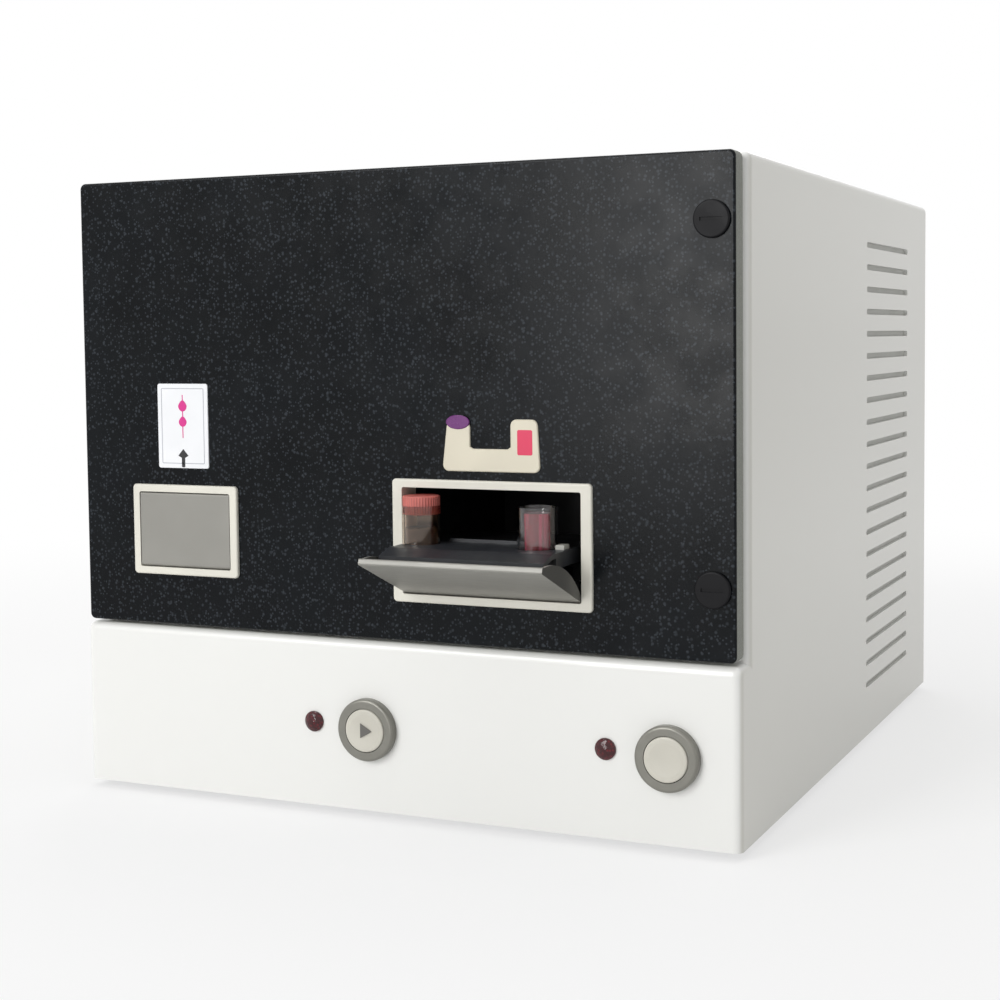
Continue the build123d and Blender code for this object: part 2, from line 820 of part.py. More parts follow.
def button_bezel(x, z):
    ring = rod_y(x, -bezel_rise, 0, z, bezel_radius)
    ring = fillet(ring.faces().sort_by(Axis.Y)[0].edges(), 1.4)
    ring += rod_y(x, 0, barrel_length, z, barrel_radius)
    hexagon = Plane.XZ * RegularPolygon(nut_radius, 6)
    ring += Pos(x, front_wall + nut_thickness, z) * extrude(hexagon, nut_thickness)
    ring -= rod_y(x, -bezel_rise - 1, barrel_length + 1, z, cap_radius + button_play)
    return ring


def button_cap(place):
    """The pushed cap: a shallow dish in front and a stem towards the switch."""
    x, z = place
    cap = rod_y(x, -cap_rise, 5.0, z, cap_radius)
    cap = fillet(cap.faces().sort_by(Axis.Y)[0].edges(), 0.9)
    dish_radius = 60.0
    dish = Pos(x, -cap_rise - dish_radius + 0.5, z) * Sphere(dish_radius)
    stem = rod_y(x, 5.0, barrel_length - button_travel - 0.6, z, cap_stem_radius)
    return cap - dish + stem


def button_switches():
    bodies = []
    for x, z in button_places:
        body = rod_y(x, barrel_length, barrel_length + switch_length, z, switch_radius + 2.7)
        for dx in (-4, 4):
            body += block(x + dx - 1.2, x + dx + 1.2, barrel_length + switch_length,
                          barrel_length + switch_length + 5, z - 0.4, z + 0.4)
        bodies.append(body)
    return Compound(bodies)


def status_lights():
    """Domed lenses with a flange on the fascia and a stem through it."""
    lights = []
    for x, z in light_places:
        flange = rod_y(x, -0.8, 0, z, light_radius)
        dome_radius = (light_radius ** 2 + light_rise ** 2) / (2 * light_rise)
        dome = Pos(x, -0.8 - light_rise + dome_radius, z) * Sphere(dome_radius)
        dome &= rod_y(x, -0.8 - light_rise, -0.8, z, light_radius)
        stem = rod_y(x, 0, light_stem_length, z, light_stem_radius)
        lights.append(flange + dome + stem)
    return Compound(lights)


def light_holders():
    holders = []
    for x, z in light_places:
        ring = rod_y(x, front_wall, light_stem_length, z, light_holder_radius)
        holders.append(ring - rod_y(x, 0, light_stem_length + 1, z, light_stem_radius))
    return Compound(holders)


def rear_panel():
    """The sheet-metal back, cut for the fan, the mains inlet, the switch, the sockets and the fittings."""
    side = inner_side - seat_gap
    back = block(-side, side, rear_inner, rear_face, floor_top - base_sheet, body_height - wall - seat_gap)
    back -= rod_y(fan_x, rear_inner - 1, rear_face + 1, fan_z, fan_bore)
    back -= block(inlet_x - inlet_width / 2, inlet_x + inlet_width / 2, rear_inner - 1, rear_face + 1,
                  inlet_z - inlet_height / 2, inlet_z + inlet_height / 2)
    back -= block(rocker_x - rocker_width / 2 - 2, rocker_x + rocker_width / 2 + 2, rear_inner - 1,
                  rear_face + 1, inlet_z - rocker_height / 2 - 2, inlet_z + rocker_height / 2 + 2)
    for x in socket_x:
        back -= block(x - socket_width / 2, x + socket_width / 2, rear_inner - 1, rear_face + 1,
                      inlet_z - socket_height / 2, inlet_z + socket_height / 2)
    for x in fitting_x:
        back -= rod_y(x, rear_inner - 1, rear_face + 1, fitting_z, fitting_radius)
    for x, z in rear_screw_places():
        back -= rod_y(x, rear_inner - 1, rear_face + 1, z, 1.5)
    return back


def rear_screw_places():
    x = half_width - 12
    return [(side * x, z) for side in (-1, 1) for z in (18, body_height / 2, body_height - 14)]


def rear_screws():
    screws = []
    for x, z in rear_screw_places():
        head = rod_y(x, rear_face, rear_face + 1.9, z, 3.2)
        head = fillet(head.faces().sort_by(Axis.Y)[-1].edges(), 1.0)
        head -= block(x - 2, x + 2, rear_face + 1.2, rear_face + 3, z - 0.45, z + 0.45)
        head -= block(x - 0.45, x + 0.45, rear_face + 1.2, rear_face + 3, z - 2, z + 2)
        screws.append(head + rod_y(x, rear_inner - 5, rear_face, z, 1.5))
    return Compound(screws)


def fan_housing():
    """A square axial fan frame with its motor hub held by four struts."""
    y0, y1 = rear_inner - fan_thickness, rear_inner
    half = fan_size / 2
    frame = plate(fan_x - half, fan_x + half, fan_z - half, fan_z + half, 5, y0, y1)
    frame -= rod_y(fan_x, y0 - 1, y1 + 1, fan_z, fan_bore)
    struts = block(fan_x - half + 1, fan_x + half - 1, y0, y0 + 3, fan_z - 2, fan_z + 2)
    struts += block(fan_x - 2, fan_x + 2, y0, y0 + 3, fan_z - half + 1, fan_z + half - 1)
    frame += struts
    frame += rod_y(fan_x, y0, y0 + 5, fan_z, fan_hub)
    frame -= rod_y(fan_x, y0 - 1, y1, fan_z, fan_shaft + running_play)
    return frame


def fan_rotor():
    """A hub and twisted blades on a steel shaft."""
    y0, y1 = rear_inner - fan_thickness + 5.4, rear_inner - 2
    hub = rod_y(fan_x, y0, y1, fan_z, fan_hub)
    hub = fillet(hub.faces().sort_by(Axis.Y)[-1].edges(), 2)
    rotor = hub + rod_y(fan_x, rear_inner - fan_thickness + 0.5, y0, fan_z, fan_shaft)
    reach = fan_bore - 1.0 - fan_hub
    blade = Pos(fan_hub + reach / 2 - 1, 0, 0) * Rot(48, 0, 0) * Box(reach + 1, 15.0, 1.6)
    for i in range(fan_blades):
        turned = Pos(fan_x, (y0 + y1) / 2, fan_z) * Rot(0, 360 / fan_blades * i, 0) * blade
        rotor += turned
    rim = rod_y(fan_x, y0 - 5, y1 + 5, fan_z, fan_bore - 0.8)
    return rotor & rim


def fan_guard():
    """Wire rings with four legs, screwed over the fan's mouth."""
    guard = Torus(fan_bore, guard_wire)
    for i in range(1, guard_rings):
        guard += Torus(fan_bore * i / guard_rings, guard_wire)
    length = 0.5 * fan_size * 1.19
    for angle in (45, 135, 225, 315):
        guard += Rot(0, 0, angle) * rod_x(6, length, 0, 0, guard_wire)
    return Pos(fan_x, rear_face + guard_wire, fan_z) * Rot(90, 0, 0) * guard


def power_inlet():
    """A flanged mains inlet with a recess and three blades."""
    w, h = inlet_width / 2, inlet_height / 2
    body = plate(inlet_x - w - 3, inlet_x + w + 3, inlet_z - h - 3, inlet_z + h + 3, 3,
                 rear_face, rear_face + 2.5)
    body += block(inlet_x - w, inlet_x + w, rear_inner - inlet_depth, rear_face, inlet_z - h, inlet_z + h)
    recess_w, recess_h = 12.3, 8.6
    recess = plate(inlet_x - recess_w, inlet_x + recess_w, inlet_z - recess_h, inlet_z + recess_h, 3.5,
                   rear_face - 17, rear_face + 4)
    body -= recess
    for dx, dz in ((-7, -2), (0, 3), (7, -2)):
        body += block(inlet_x + dx - 1, inlet_x + dx + 1, rear_face - 18, rear_face - 3,
                      inlet_z + dz - 2, inlet_z + dz + 2)
    return body


def rocker_frame():
    w, h = rocker_width / 2, rocker_height / 2
    frame = plate(rocker_x - w - 4, rocker_x + w + 4, inlet_z - h - 4, inlet_z + h + 4, 2,
                  rear_face, rear_face + 2.0)
    frame += block(rocker_x - w - 2, rocker_x + w + 2, rear_inner - socket_depth, rear_face,
                   inlet_z - h - 2, inlet_z + h + 2)
    frame -= block(rocker_x - w, rocker_x + w, rear_inner - 12, rear_face + 3, inlet_z - h, inlet_z + h)
    frame -= rod_x(rocker_x - w - 1.5, rocker_x + w + 1.5, rear_face - 4, inlet_z, 1.2)
    return frame


def power_rocker():
    """The rocker turns on two stub pins and starts with one end pressed in."""
    w = rocker_width / 2 - 0.35
    arm = rocker_height / 2 - 1.2
    y = rear_face - 4
    crest = 5.2
    points = ((y - 4, inlet_z - 5), (y + crest, inlet_z - arm), (y + crest - 1.4, inlet_z),
              (y + crest, inlet_z + arm), (y - 4, inlet_z + 5))
    rocker = side_profile(points, rocker_x - w, rocker_x + w)
    rocker += rod_x(rocker_x - w - 1.4, rocker_x + w + 1.4, y, inlet_z, 1.15)
    pivot = Pos(0, y, inlet_z)
    return pivot * Rot(rocker_tilt_deg / 2, 0, 0) * pivot.inverse() * rocker


def data_sockets():
    """Three square metal sockets, each with a tongue inside."""
    sockets = []
    for x in socket_x:
        w, h = socket_width / 2, socket_height / 2
        shell = block(x - w, x + w, rear_inner - socket_depth, rear_face + 0.8, inlet_z - h, inlet_z + h)
        shell -= block(x - w + 1, x + w - 1, rear_face - 11, rear_face + 2, inlet_z - h + 1, inlet_z + h - 1)
        shell += block(x - w + 3, x + w - 3, rear_face - 12, rear_face - 1, inlet_z + 1.5, inlet_z + 3.5)
        sockets.append(shell)
    return Compound(sockets)


def fluid_fittings():
    """Barbed hose fittings through the rear panel, each with a hexagon outside and a nut inside."""
    fittings = []
    for x in fitting_x:
        hexagon = Plane.XZ * RegularPolygon(6.5, 6)
        body = Pos(x, rear_face + 4, fitting_z) * extrude(hexagon, 4)
        body += rod_y(x, rear_inner - 10, rear_face + 1, fitting_z, fitting_radius)
        body += Pos(x, rear_inner, fitting_z) * extrude(hexagon, 3.5)
        body += rod_y(x, rear_face + 4, rear_face + fitting_reach, fitting_z, 2.3)
        for y in (rear_face + 6.4, rear_face + 9.6):
            body += Pos(x, y, fitting_z) * Rot(90, 0, 0) * Cone(3.2, 2.3, 2.4)
        fittings.append(body - rod_y(x, rear_inner - 11, rear_face + fitting_reach + 1, fitting_z, fitting_bore))
    return Compound(fittings)


def bench_posts():
    posts = []
    for x in (bench_x[0] + bench_post_inset, bench_x[1] - bench_post_inset):
        for y in (bench_y[0] + bench_post_inset, bench_y[1] - bench_post_inset):
            post = rod_z(x, y, floor_top, bench_low, bench_post_radius)
            posts.append(post + rod_z(x, y, floor_top, floor_top + 3, bench_post_foot))
    return Compound(posts)


def optical_bench():
    """A thick plate with rounded corners and a broken top edge."""
    bench = block(*bench_x, *bench_y, bench_low, bench_top)
    bench = fillet(bench.edges().filter_by(Axis.Z), 8)
    return chamfer(bench.faces().sort_by(Axis.Z)[-1].edges(), 1)


def laser_module():
    """A finned laser head that fires along X towards the flow cell."""
    x1 = cell_x - laser_to_cell
    x0 = x1 - laser_length
    half = laser_width / 2
    body = block(x0, x1, beam_y - half, beam_y + half, bench_top, bench_top + laser_height)
    start = x0 + (laser_length - fin_pitch * fin_count + fin_gap) / 2
    gaps = [block(start + fin_pitch * i, start + fin_pitch * i + fin_gap, beam_y - half - 1, beam_y + half + 1,
                  bench_top + laser_height - fin_depth, bench_top + laser_height + 1)
            for i in range(fin_count)]
    body -= gaps
    return body + rod_x(x1, x1 + laser_nose, beam_y, beam_z, laser_nose)


def beam_optics():
    """Two lens holders on the beam between the laser and the flow cell."""
    thick, wide = lens_holder_size
    holders = []
    for gap in lens_to_cell:
        x = cell_x - gap
        holder = block(x - thick / 2, x + thick / 2, beam_y - wide / 2, beam_y + wide / 2,
                       bench_top, beam_z + wide / 2)
        holder = fillet(holder.edges().filter_by(Axis.X).sort_by(Axis.Z)[-2:], 0.36 * wide)
        holders.append(holder - rod_x(x - thick, x + thick, beam_y, beam_z, lens_radius))
    return Compound(holders)


def lenses():
    """Plano-convex lenses, flat towards the laser and bulged towards the cell."""
    half, bulge = 1.5, 1.6
    profile = Line((-half, 0), (half + bulge, 0))
    profile += ThreePointArc((half + bulge, 0), (half + 0.75 * bulge, lens_radius / 2), (half, lens_radius))
    profile += Polyline((half, lens_radius), (-half, lens_radius), (-half, 0))
    lens = revolve(Plane.XY * make_face(profile), Axis.X)
    return Compound([Pos(cell_x - gap, beam_y, beam_z) * lens for gap in lens_to_cell])


def flow_cell_mount():
    """The block that grips the flow cell above and below the beam."""
    half, window, cell = mount_size / 2, mount_window / 2, cell_size / 2
    top = bench_top + mount_height
    mount = block(cell_x - half, cell_x + half, beam_y - half, beam_y + half, bench_top, top)
    mount -= block(cell_x - half - 1, cell_x + half + 1, beam_y - window + 1, beam_y + window - 1,
                   beam_z - window, beam_z + window)
    mount -= block(cell_x - window + 1, cell_x + window - 1, beam_y - half - 1, beam_y + half + 1,
                   beam_z - window, beam_z + window)
    mount -= block(cell_x - cell, cell_x + cell, beam_y - cell, beam_y + cell,
                   bench_top + cell_low, bench_top + cell_high)
    return mount + rod_z(cell_x, beam_y, top, top + 8, 5)


def flow_cell():
    """A square quartz column with the sample channel down its middle."""
    half = cell_size / 2
    low, high = bench_top + cell_low, bench_top + cell_high
    cell = block(cell_x - half, cell_x + half, beam_y - half, beam_y + half, low, high)
    return cell - rod_z(cell_x, beam_y, low - 1, high + 1, 0.8)


def side_detector_x():
    return [cell_x - 4 + detector_pitch * i for i in range(detector_count)]


def detectors():
    """Light detectors ahead of the cell and in a row at its side, each a can on a foot."""
    x0 = cell_x + forward_detector_gap
    x1 = x0 + detector_length
    foot = 0.75 * detector_radius
    can = rod_x(x0, x1, beam_y, beam_z, detector_radius)
    cans = [can + block(x0 + 4, x1 - 4, beam_y - foot, beam_y + foot, bench_top, beam_z)]
    y0 = bench_y[0] + detector_from_front
    y1 = y0 + detector_length
    for x in side_detector_x():
        can = rod_y(x, y0, y1, beam_z, detector_radius)
        cans.append(can + block(x - foot, x + foot, y0 + 4, y1 - 4, bench_top, beam_z))
    return Compound(cans)


def filter_blocks():
    """Cube holders for the colour filters between the cell and the side detectors."""
    half = filter_size / 2
    y0 = bench_y[0] + detector_from_front + detector_length + filter_gap
    y1 = y0 + filter_size
    cubes = []
    for x in side_detector_x():
        cube = block(x - half, x + half, y0, y1, bench_top, beam_z + half)
        cube = fillet(cube.edges().filter_by(Axis.Z), 2)
        cube -= rod_y(x, y0 - 1, y1 + 1, beam_z, filter_bore)
        cubes.append(cube - rod_x(x - half - 1, x + half + 1, (y0 + y1) / 2, beam_z, filter_bore))
    return Compound(cubes)


def power_supply():
    """A supply in a folded cover with rows of vent slots."""
    width, depth, height = supply_size
    x0 = bench_x[0] + supply_from_bench_left
    y1 = rear_inner - socket_depth - 5
    y0 = y1 - depth
    z1 = floor_top + height
    box = block(x0, x0 + width, y0, y1, floor_top, z1)
    box = fillet(box.edges().filter_by(Axis.Z), 2)
    columns, rows = supply_slots
    length = 0.32 * depth
    slot = Plane.XY * Rot(0, 0, 90) * SlotOverall(length, 3)
    slots = [
        Pos(x0 + width * (column + 1) / (columns + 1), y0 + depth * (2 * row + 1) / (2 * rows), z1 - 2)
        * extrude(slot, 4)
        for row in range(rows) for column in range(columns)
    ]
    return box - slots


def main_board():
    """The controller board on its standoffs, with chips, a heat sink and connectors."""
    width, depth, thickness = board_size
    x0 = (bench_x[0] + bench_x[1] - width) / 2
    y0 = bottle_y + bottle_radius + board_behind_bottles
    low = floor_top + board_rise
    top = low + thickness
    board = block(x0, x0 + width, y0, y0 + depth, low, top)
    inset = board_post_inset
    for x in (x0 + inset, x0 + width - inset):
        for y in (y0 + inset, y0 + depth - inset):
            board += rod_z(x, y, floor_top, low, 3)
    # Chips as (across, back, width, depth, height), places as parts of the board's size
    chips = (
        (0.22, 0.42, 24, 24, 3), (0.50, 0.42, 14, 18, 2), (0.50, 0.74, 18, 12, 2),
        (0.76, 0.74, 20, 20, 12), (0.24, 0.78, 30, 8, 9), (0.86, 0.40, 9, 34, 8),
    )
    for across, back, w, d, h in chips:
        x, y = x0 + across * width, y0 + back * depth
        board += block(x - w / 2, x + w / 2, y - d / 2, y + d / 2, top, top + h)
    return board


def syringe_pump_frame():
    """A C-shaped stand: a motor at the foot, a back plate, and shelves for the screw and the barrel."""
    x0, x1 = pump_x - pump_half_width, pump_x + pump_half_width
    y0, y1 = pump_y - pump_half_depth, pump_y + pump_half_depth
    top = barrel_top + pump_shelf_thickness
    frame = block(x0, x1, y0, y1, floor_top, pump_floor)
    frame += block(x0, x1, y1 - pump_back_thickness, y1, floor_top, top)
    frame += block(x0, x1, y0, y1, shelf_low, barrel_low)
    screw_y = pump_y + pump_screw_offset
    frame -= rod_z(pump_x, screw_y, pump_floor - 4, barrel_low + 1, screw_radius + running_play)
    return frame - rod_z(pump_x, pump_y + pump_rod_offset, shelf_low - 1, barrel_low + 1, rod_radius + 1)


def lead_screw():
    """The screw between the motor and the shelf, with its thread as a row of rings."""
    y = pump_y + pump_screw_offset
    screw = rod_z(pump_x, y, pump_floor - 4 + seat_gap, barrel_low - 1, screw_radius)
    count = int((shelf_low - pump_floor - 2) / screw_pitch)
    for i in range(count):
        screw += rod_z(pump_x, y, pump_floor + 1 + screw_pitch * i, pump_floor + 2 + screw_pitch * i,
                       screw_thread_radius)
    return screw


def syringe_barrel():
    """A glass barrel above the shelf, with its outlet at the top."""
    x, y = pump_x, pump_y + pump_rod_offset
    barrel = rod_z(x, y, barrel_low, barrel_top, piston_radius + barrel_wall)
    barrel += rod_z(x, y, barrel_top, barrel_top + barrel_nose, 3)
    barrel -= rod_z(x, y, barrel_low - 1, barrel_top - 3, piston_radius)
    return barrel - rod_z(x, y, barrel_top - 4, barrel_top + barrel_nose + 1, 1)


def syringe_plunger():
    """The piston, its rod and the driver that rides on the lead screw."""
    x, y = pump_x, pump_y + pump_rod_offset
    screw_y = pump_y + pump_screw_offset
    driver = block(x - 12, x + 12, y - 6, screw_y + 5, driver_low, driver_low + driver_height)
    driver -= rod_z(x, screw_y, driver_low - 1, driver_low + driver_height + 1, screw_thread_radius + seat_gap)
    rod = rod_z(x, y, driver_low + driver_height, barrel_low + 1, rod_radius)
    piston = rod_z(x, y, barrel_low + 0.5, barrel_low + 0.5 + piston_length, piston_radius - running_play)
    return driver + rod + piston


def valve_manifold():
    """A block under the bench with a row of small valves on its face."""
    width, depth, height = manifold_size
    x0 = cell_x - 0.6 * width
    y0 = bench_y[0] + manifold_from_front
    low = bench_low - height
    manifold = block(x0, x0 + width, y0, y0 + depth, low, bench_low)
    for i in range(valve_count):
        x = x0 + width / 2 + valve_pitch * (i - (valve_count - 1) / 2)
        manifold += rod_y(x, y0 - valve_length, y0, low + height / 2, valve_radius)
        manifold += block(x - 7, x + 7, y0 - valve_length - 4, y0 - valve_length, low + 6, low + height - 6)
    return manifold


def roller_pump_body():
    """A peristaltic pump head under the bench, with its motor behind."""
    x, y, z = roller_x, roller_y, roller_z
    half = roller_head / 2
    back = y + roller_head_depth
    head = plate(x - half, x + half, z - half, bench_low, 5, y, back)
    head -= rod_y(x, y - 1, back - 5, z, roller_bore)
    head += rod_y(x, back, back + roller_motor_length, z, roller_motor_radius)
    return head - rod_y(x, back - 6, back + 2, z, roller_shaft + running_play)


def roller_pump_rotor():
    """A three-roller rotor on the motor's shaft."""
    x, y, z = roller_x, roller_y, roller_z
    inside = y + roller_head_depth - 5
    disc = roller_orbit + 3
    rotor = rod_y(x, y + 1, y + 4, z, disc) + rod_y(x, inside - 5, inside - 2, z, disc)
    rotor += rod_y(x, y + 1, inside - 0.3, z, 5) + rod_y(x, inside - 1, inside + 6.5, z, roller_shaft)
    for i in range(3):
        angle = radians(90 + 120 * i)
        rotor += rod_y(x + roller_orbit * cos(angle), y + 2, inside - 3, z + roller_orbit * sin(angle),
                       roller_radius)
    return rotor


def reagent_bottles():
    """Two round bottles on the tray behind the fascia, with their shoulders and necks."""
    r, h = bottle_radius, bottle_height
    points = ((0, 0), (r - 3, 0), (r, 3), (r, h - 14), (r - 6, h - 6), (11, h), (11, h + bottle_neck),
              (0, h + bottle_neck))
    return Compound([revolved(points, x, bottle_y, floor_top) for x in bottle_x])


def bottle_caps():
    """Screw caps with grooves round their skirts."""
    low = floor_top + bottle_height + bottle_neck
    caps = []
    for x in bottle_x:
        cap = rod_z(x, bottle_y, low, low + bottle_cap_height, 13)
        for i in range(18):
            angle = 2 * pi * i / 18
            cap -= rod_z(x + 13.2 * cos(angle), bottle_y + 13.2 * sin(angle), low - 1,
                         low + bottle_cap_height + 1, 0.7)
        caps.append(cap)
    return Compound(caps)


def build():
    """Every sub-part, by the name of its node."""
    parts = {
        "housing_shell": housing_shell(),
        "louvre_screens": louvre_screens(),
        "base_tray": base_tray(),
        "rubber_feet": rubber_feet(),
        "door_panel": door_panel(),
        "hinge_brackets": hinge_brackets(),
        "hinge_pins": hinge_pins(),
        "latch_strikes": latch_strikes(),
        "guide_rods": guide_rods(),
        "capped_tube": capped_tube(),
        "tube_cap": tube_cap(),
        "open_sleeve": open_sleeve(),
        "sample_tube": sample_tube(),
        "check_tube": check_tube(),
        "button_bezels": button_bezels(),
        "button_switches": button_switches(),
        "status_lights": status_lights(),
        "light_holders": light_holders(),
        "rear_panel": rear_panel(),
        "rear_screws": rear_screws(),
        "fan_housing": fan_housing(),
        "fan_rotor": fan_rotor(),
        "fan_guard": fan_guard(),
        "power_inlet": power_inlet(),
        "rocker_frame": rocker_frame(),
        "power_rocker": power_rocker(),
        "data_sockets": data_sockets(),
        "fluid_fittings": fluid_fittings(),
        "bench_posts": bench_posts(),
        "optical_bench": optical_bench(),
        "laser_module": laser_module(),
        "beam_optics": beam_optics(),
        "lenses": lenses(),
        "flow_cell_mount": flow_cell_mount(),
        "flow_cell": flow_cell(),
        "detectors": detectors(),
        "filter_blocks": filter_blocks(),
        "power_supply": power_supply(),
        "main_board": main_board(),
        "syringe_pump_frame": syringe_pump_frame(),
        "lead_screw": lead_screw(),
        "syringe_barrel": syringe_barrel(),
        "syringe_plunger": syringe_plunger(),
        "valve_manifold": valve_manifold(),
        "roller_pump_body": roller_pump_body(),
        "roller_pump_rotor": roller_pump_rotor(),
        "reagent_bottles": reagent_bottles(),
        "bottle_caps": bottle_caps(),
    }
    for name, z in zip(("lower", "upper"), latch_heights):
        parts[f"{name}_latch"] = latch(z)
    for name, place in zip(("left", "right"), button_places):
        parts[f"{name}_button_cap"] = button_cap(place)
    for port in ports:
        parts[f"{port.name}_port_bezel"] = port_bezel(port)
        parts[f"{port.name}_port_liner"] = port_liner(port)
        parts[f"{port.name}_flap"] = port_flap(port)
        parts[f"{port.name}_carrier"] = carrier(port)
    return parts


os.makedirs("parts", exist_ok=True)
for node, shape in build().items():
    save(node, shape)
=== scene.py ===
import json
from math import radians

import bpy
import numpy as np
from bpy.props import FloatProperty, FloatVectorProperty, PointerProperty
from mathutils import Matrix, Vector


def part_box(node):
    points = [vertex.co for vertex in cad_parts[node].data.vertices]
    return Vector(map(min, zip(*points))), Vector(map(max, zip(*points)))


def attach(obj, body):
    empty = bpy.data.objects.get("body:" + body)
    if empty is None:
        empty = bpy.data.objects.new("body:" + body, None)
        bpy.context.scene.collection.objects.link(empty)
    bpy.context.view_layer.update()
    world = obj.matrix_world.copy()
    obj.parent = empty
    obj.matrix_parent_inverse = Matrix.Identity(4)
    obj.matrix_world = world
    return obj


bl_info = {
    "name": "Flow Cytometer",
    "version": (1, 0, 0),
    "blender": (4, 5, 0),
    "location": "View3D > Sidebar > Cytometer",
    "description": "Finishes, pictograms and studio for a bench-top flow cytometer",
    "category": "Object",
}

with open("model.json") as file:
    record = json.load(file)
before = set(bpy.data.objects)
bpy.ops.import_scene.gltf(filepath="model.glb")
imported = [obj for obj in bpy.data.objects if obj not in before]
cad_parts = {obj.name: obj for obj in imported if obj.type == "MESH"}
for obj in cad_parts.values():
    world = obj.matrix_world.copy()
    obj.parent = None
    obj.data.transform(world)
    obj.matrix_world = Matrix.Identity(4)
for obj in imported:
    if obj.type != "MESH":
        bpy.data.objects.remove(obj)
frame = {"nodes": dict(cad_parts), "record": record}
millimetre = 0.001
door_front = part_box("door_panel")[0].y


def colour_property(name, description, default):
    return FloatVectorProperty(name=name, description=description, subtype="COLOR", size=3,
                               min=0.0, max=1.0, default=default)


def length_property(name, description, default):
    return FloatProperty(name=name, description=description, subtype="DISTANCE", unit="LENGTH",
                         min=0.0, default=default)


class CytometerColours(bpy.types.PropertyGroup):
    housing: colour_property("Housing", "Paint of the pale moulded housing", (0.80, 0.80, 0.775))
    door: colour_property("Door", "Ground colour of the speckled door", (0.0030, 0.0042, 0.0056))
    door_fleck: colour_property("Door fleck", "The flecks in the door's face", (0.036, 0.042, 0.050))
    door_side: colour_property("Door side", "Bare side and back of the door's board", (0.255, 0.262, 0.235))
    bezel: colour_property("Port bezel", "Moulded frame around each port", (0.72, 0.70, 0.62))
    flap: colour_property("Flap", "Outer face of the port flaps", (0.275, 0.268, 0.243))
    carrier: colour_property("Carrier", "Sliding deck that holds the tubes", (0.020, 0.022, 0.027))
    cap: colour_property("Tube cap", "Cap of the capped tube", (0.64, 0.165, 0.140))
    sample: colour_property("Sample", "Tube of sample in the sleeve", (0.16, 0.006, 0.012))
    lamp: colour_property("Lamp", "Unlit lens of the status lamps", (0.20, 0.006, 0.016))
    card: colour_property("Picture card", "Ground of the left picture card", (0.82, 0.83, 0.85))
    card_mark: colour_property("Card mark", "Drops printed on the left card", (0.66, 0.02, 0.25))
    rack: colour_property("Pictured rack", "Rack and tubes above the right port", (0.70, 0.65, 0.52))
    purple: colour_property("Pictured cap", "Cap of the pictured left tube", (0.13, 0.01, 0.15))
    screen: colour_property("Dust screen", "Screens behind the side louvres", (0.50, 0.50, 0.47))
    floor: colour_property("Floor", "Pale studio floor", (0.88, 0.88, 0.88))


class CytometerSizes(bpy.types.PropertyGroup):
    fleck: length_property("Fleck size", "Cell width of the larger flecks in the door", 0.0021)
    card_left: FloatProperty(name="Card left", description="Left edge of the picture card",
                             unit="LENGTH", default=-0.1275)
    card_width: length_property("Card width", "Width of the picture card", 0.0297)
    card_low: length_property("Card low", "Height of the card's lower edge", 0.1664)
    card_height: length_property("Card height", "Height of the picture card", 0.0420)
    print_depth: length_property("Print depth", "How far a print stands off its card", 0.00006)
    card_depth: length_property("Card depth", "Thickness of a picture card", 0.0006)
    symbol: length_property("Start symbol", "Width of the triangle on the left button", 0.0075)
    camera_distance: length_property("Camera distance", "Camera ahead of the door's face", 0.707)
    camera_side: length_property("Camera side", "Camera to the right of the middle", 0.392)
    camera_height: length_property("Camera height", "Camera above the floor", 0.231)
    lens: FloatProperty(name="Lens", description="Focal length in millimetres", default=61.7)


# Finishes

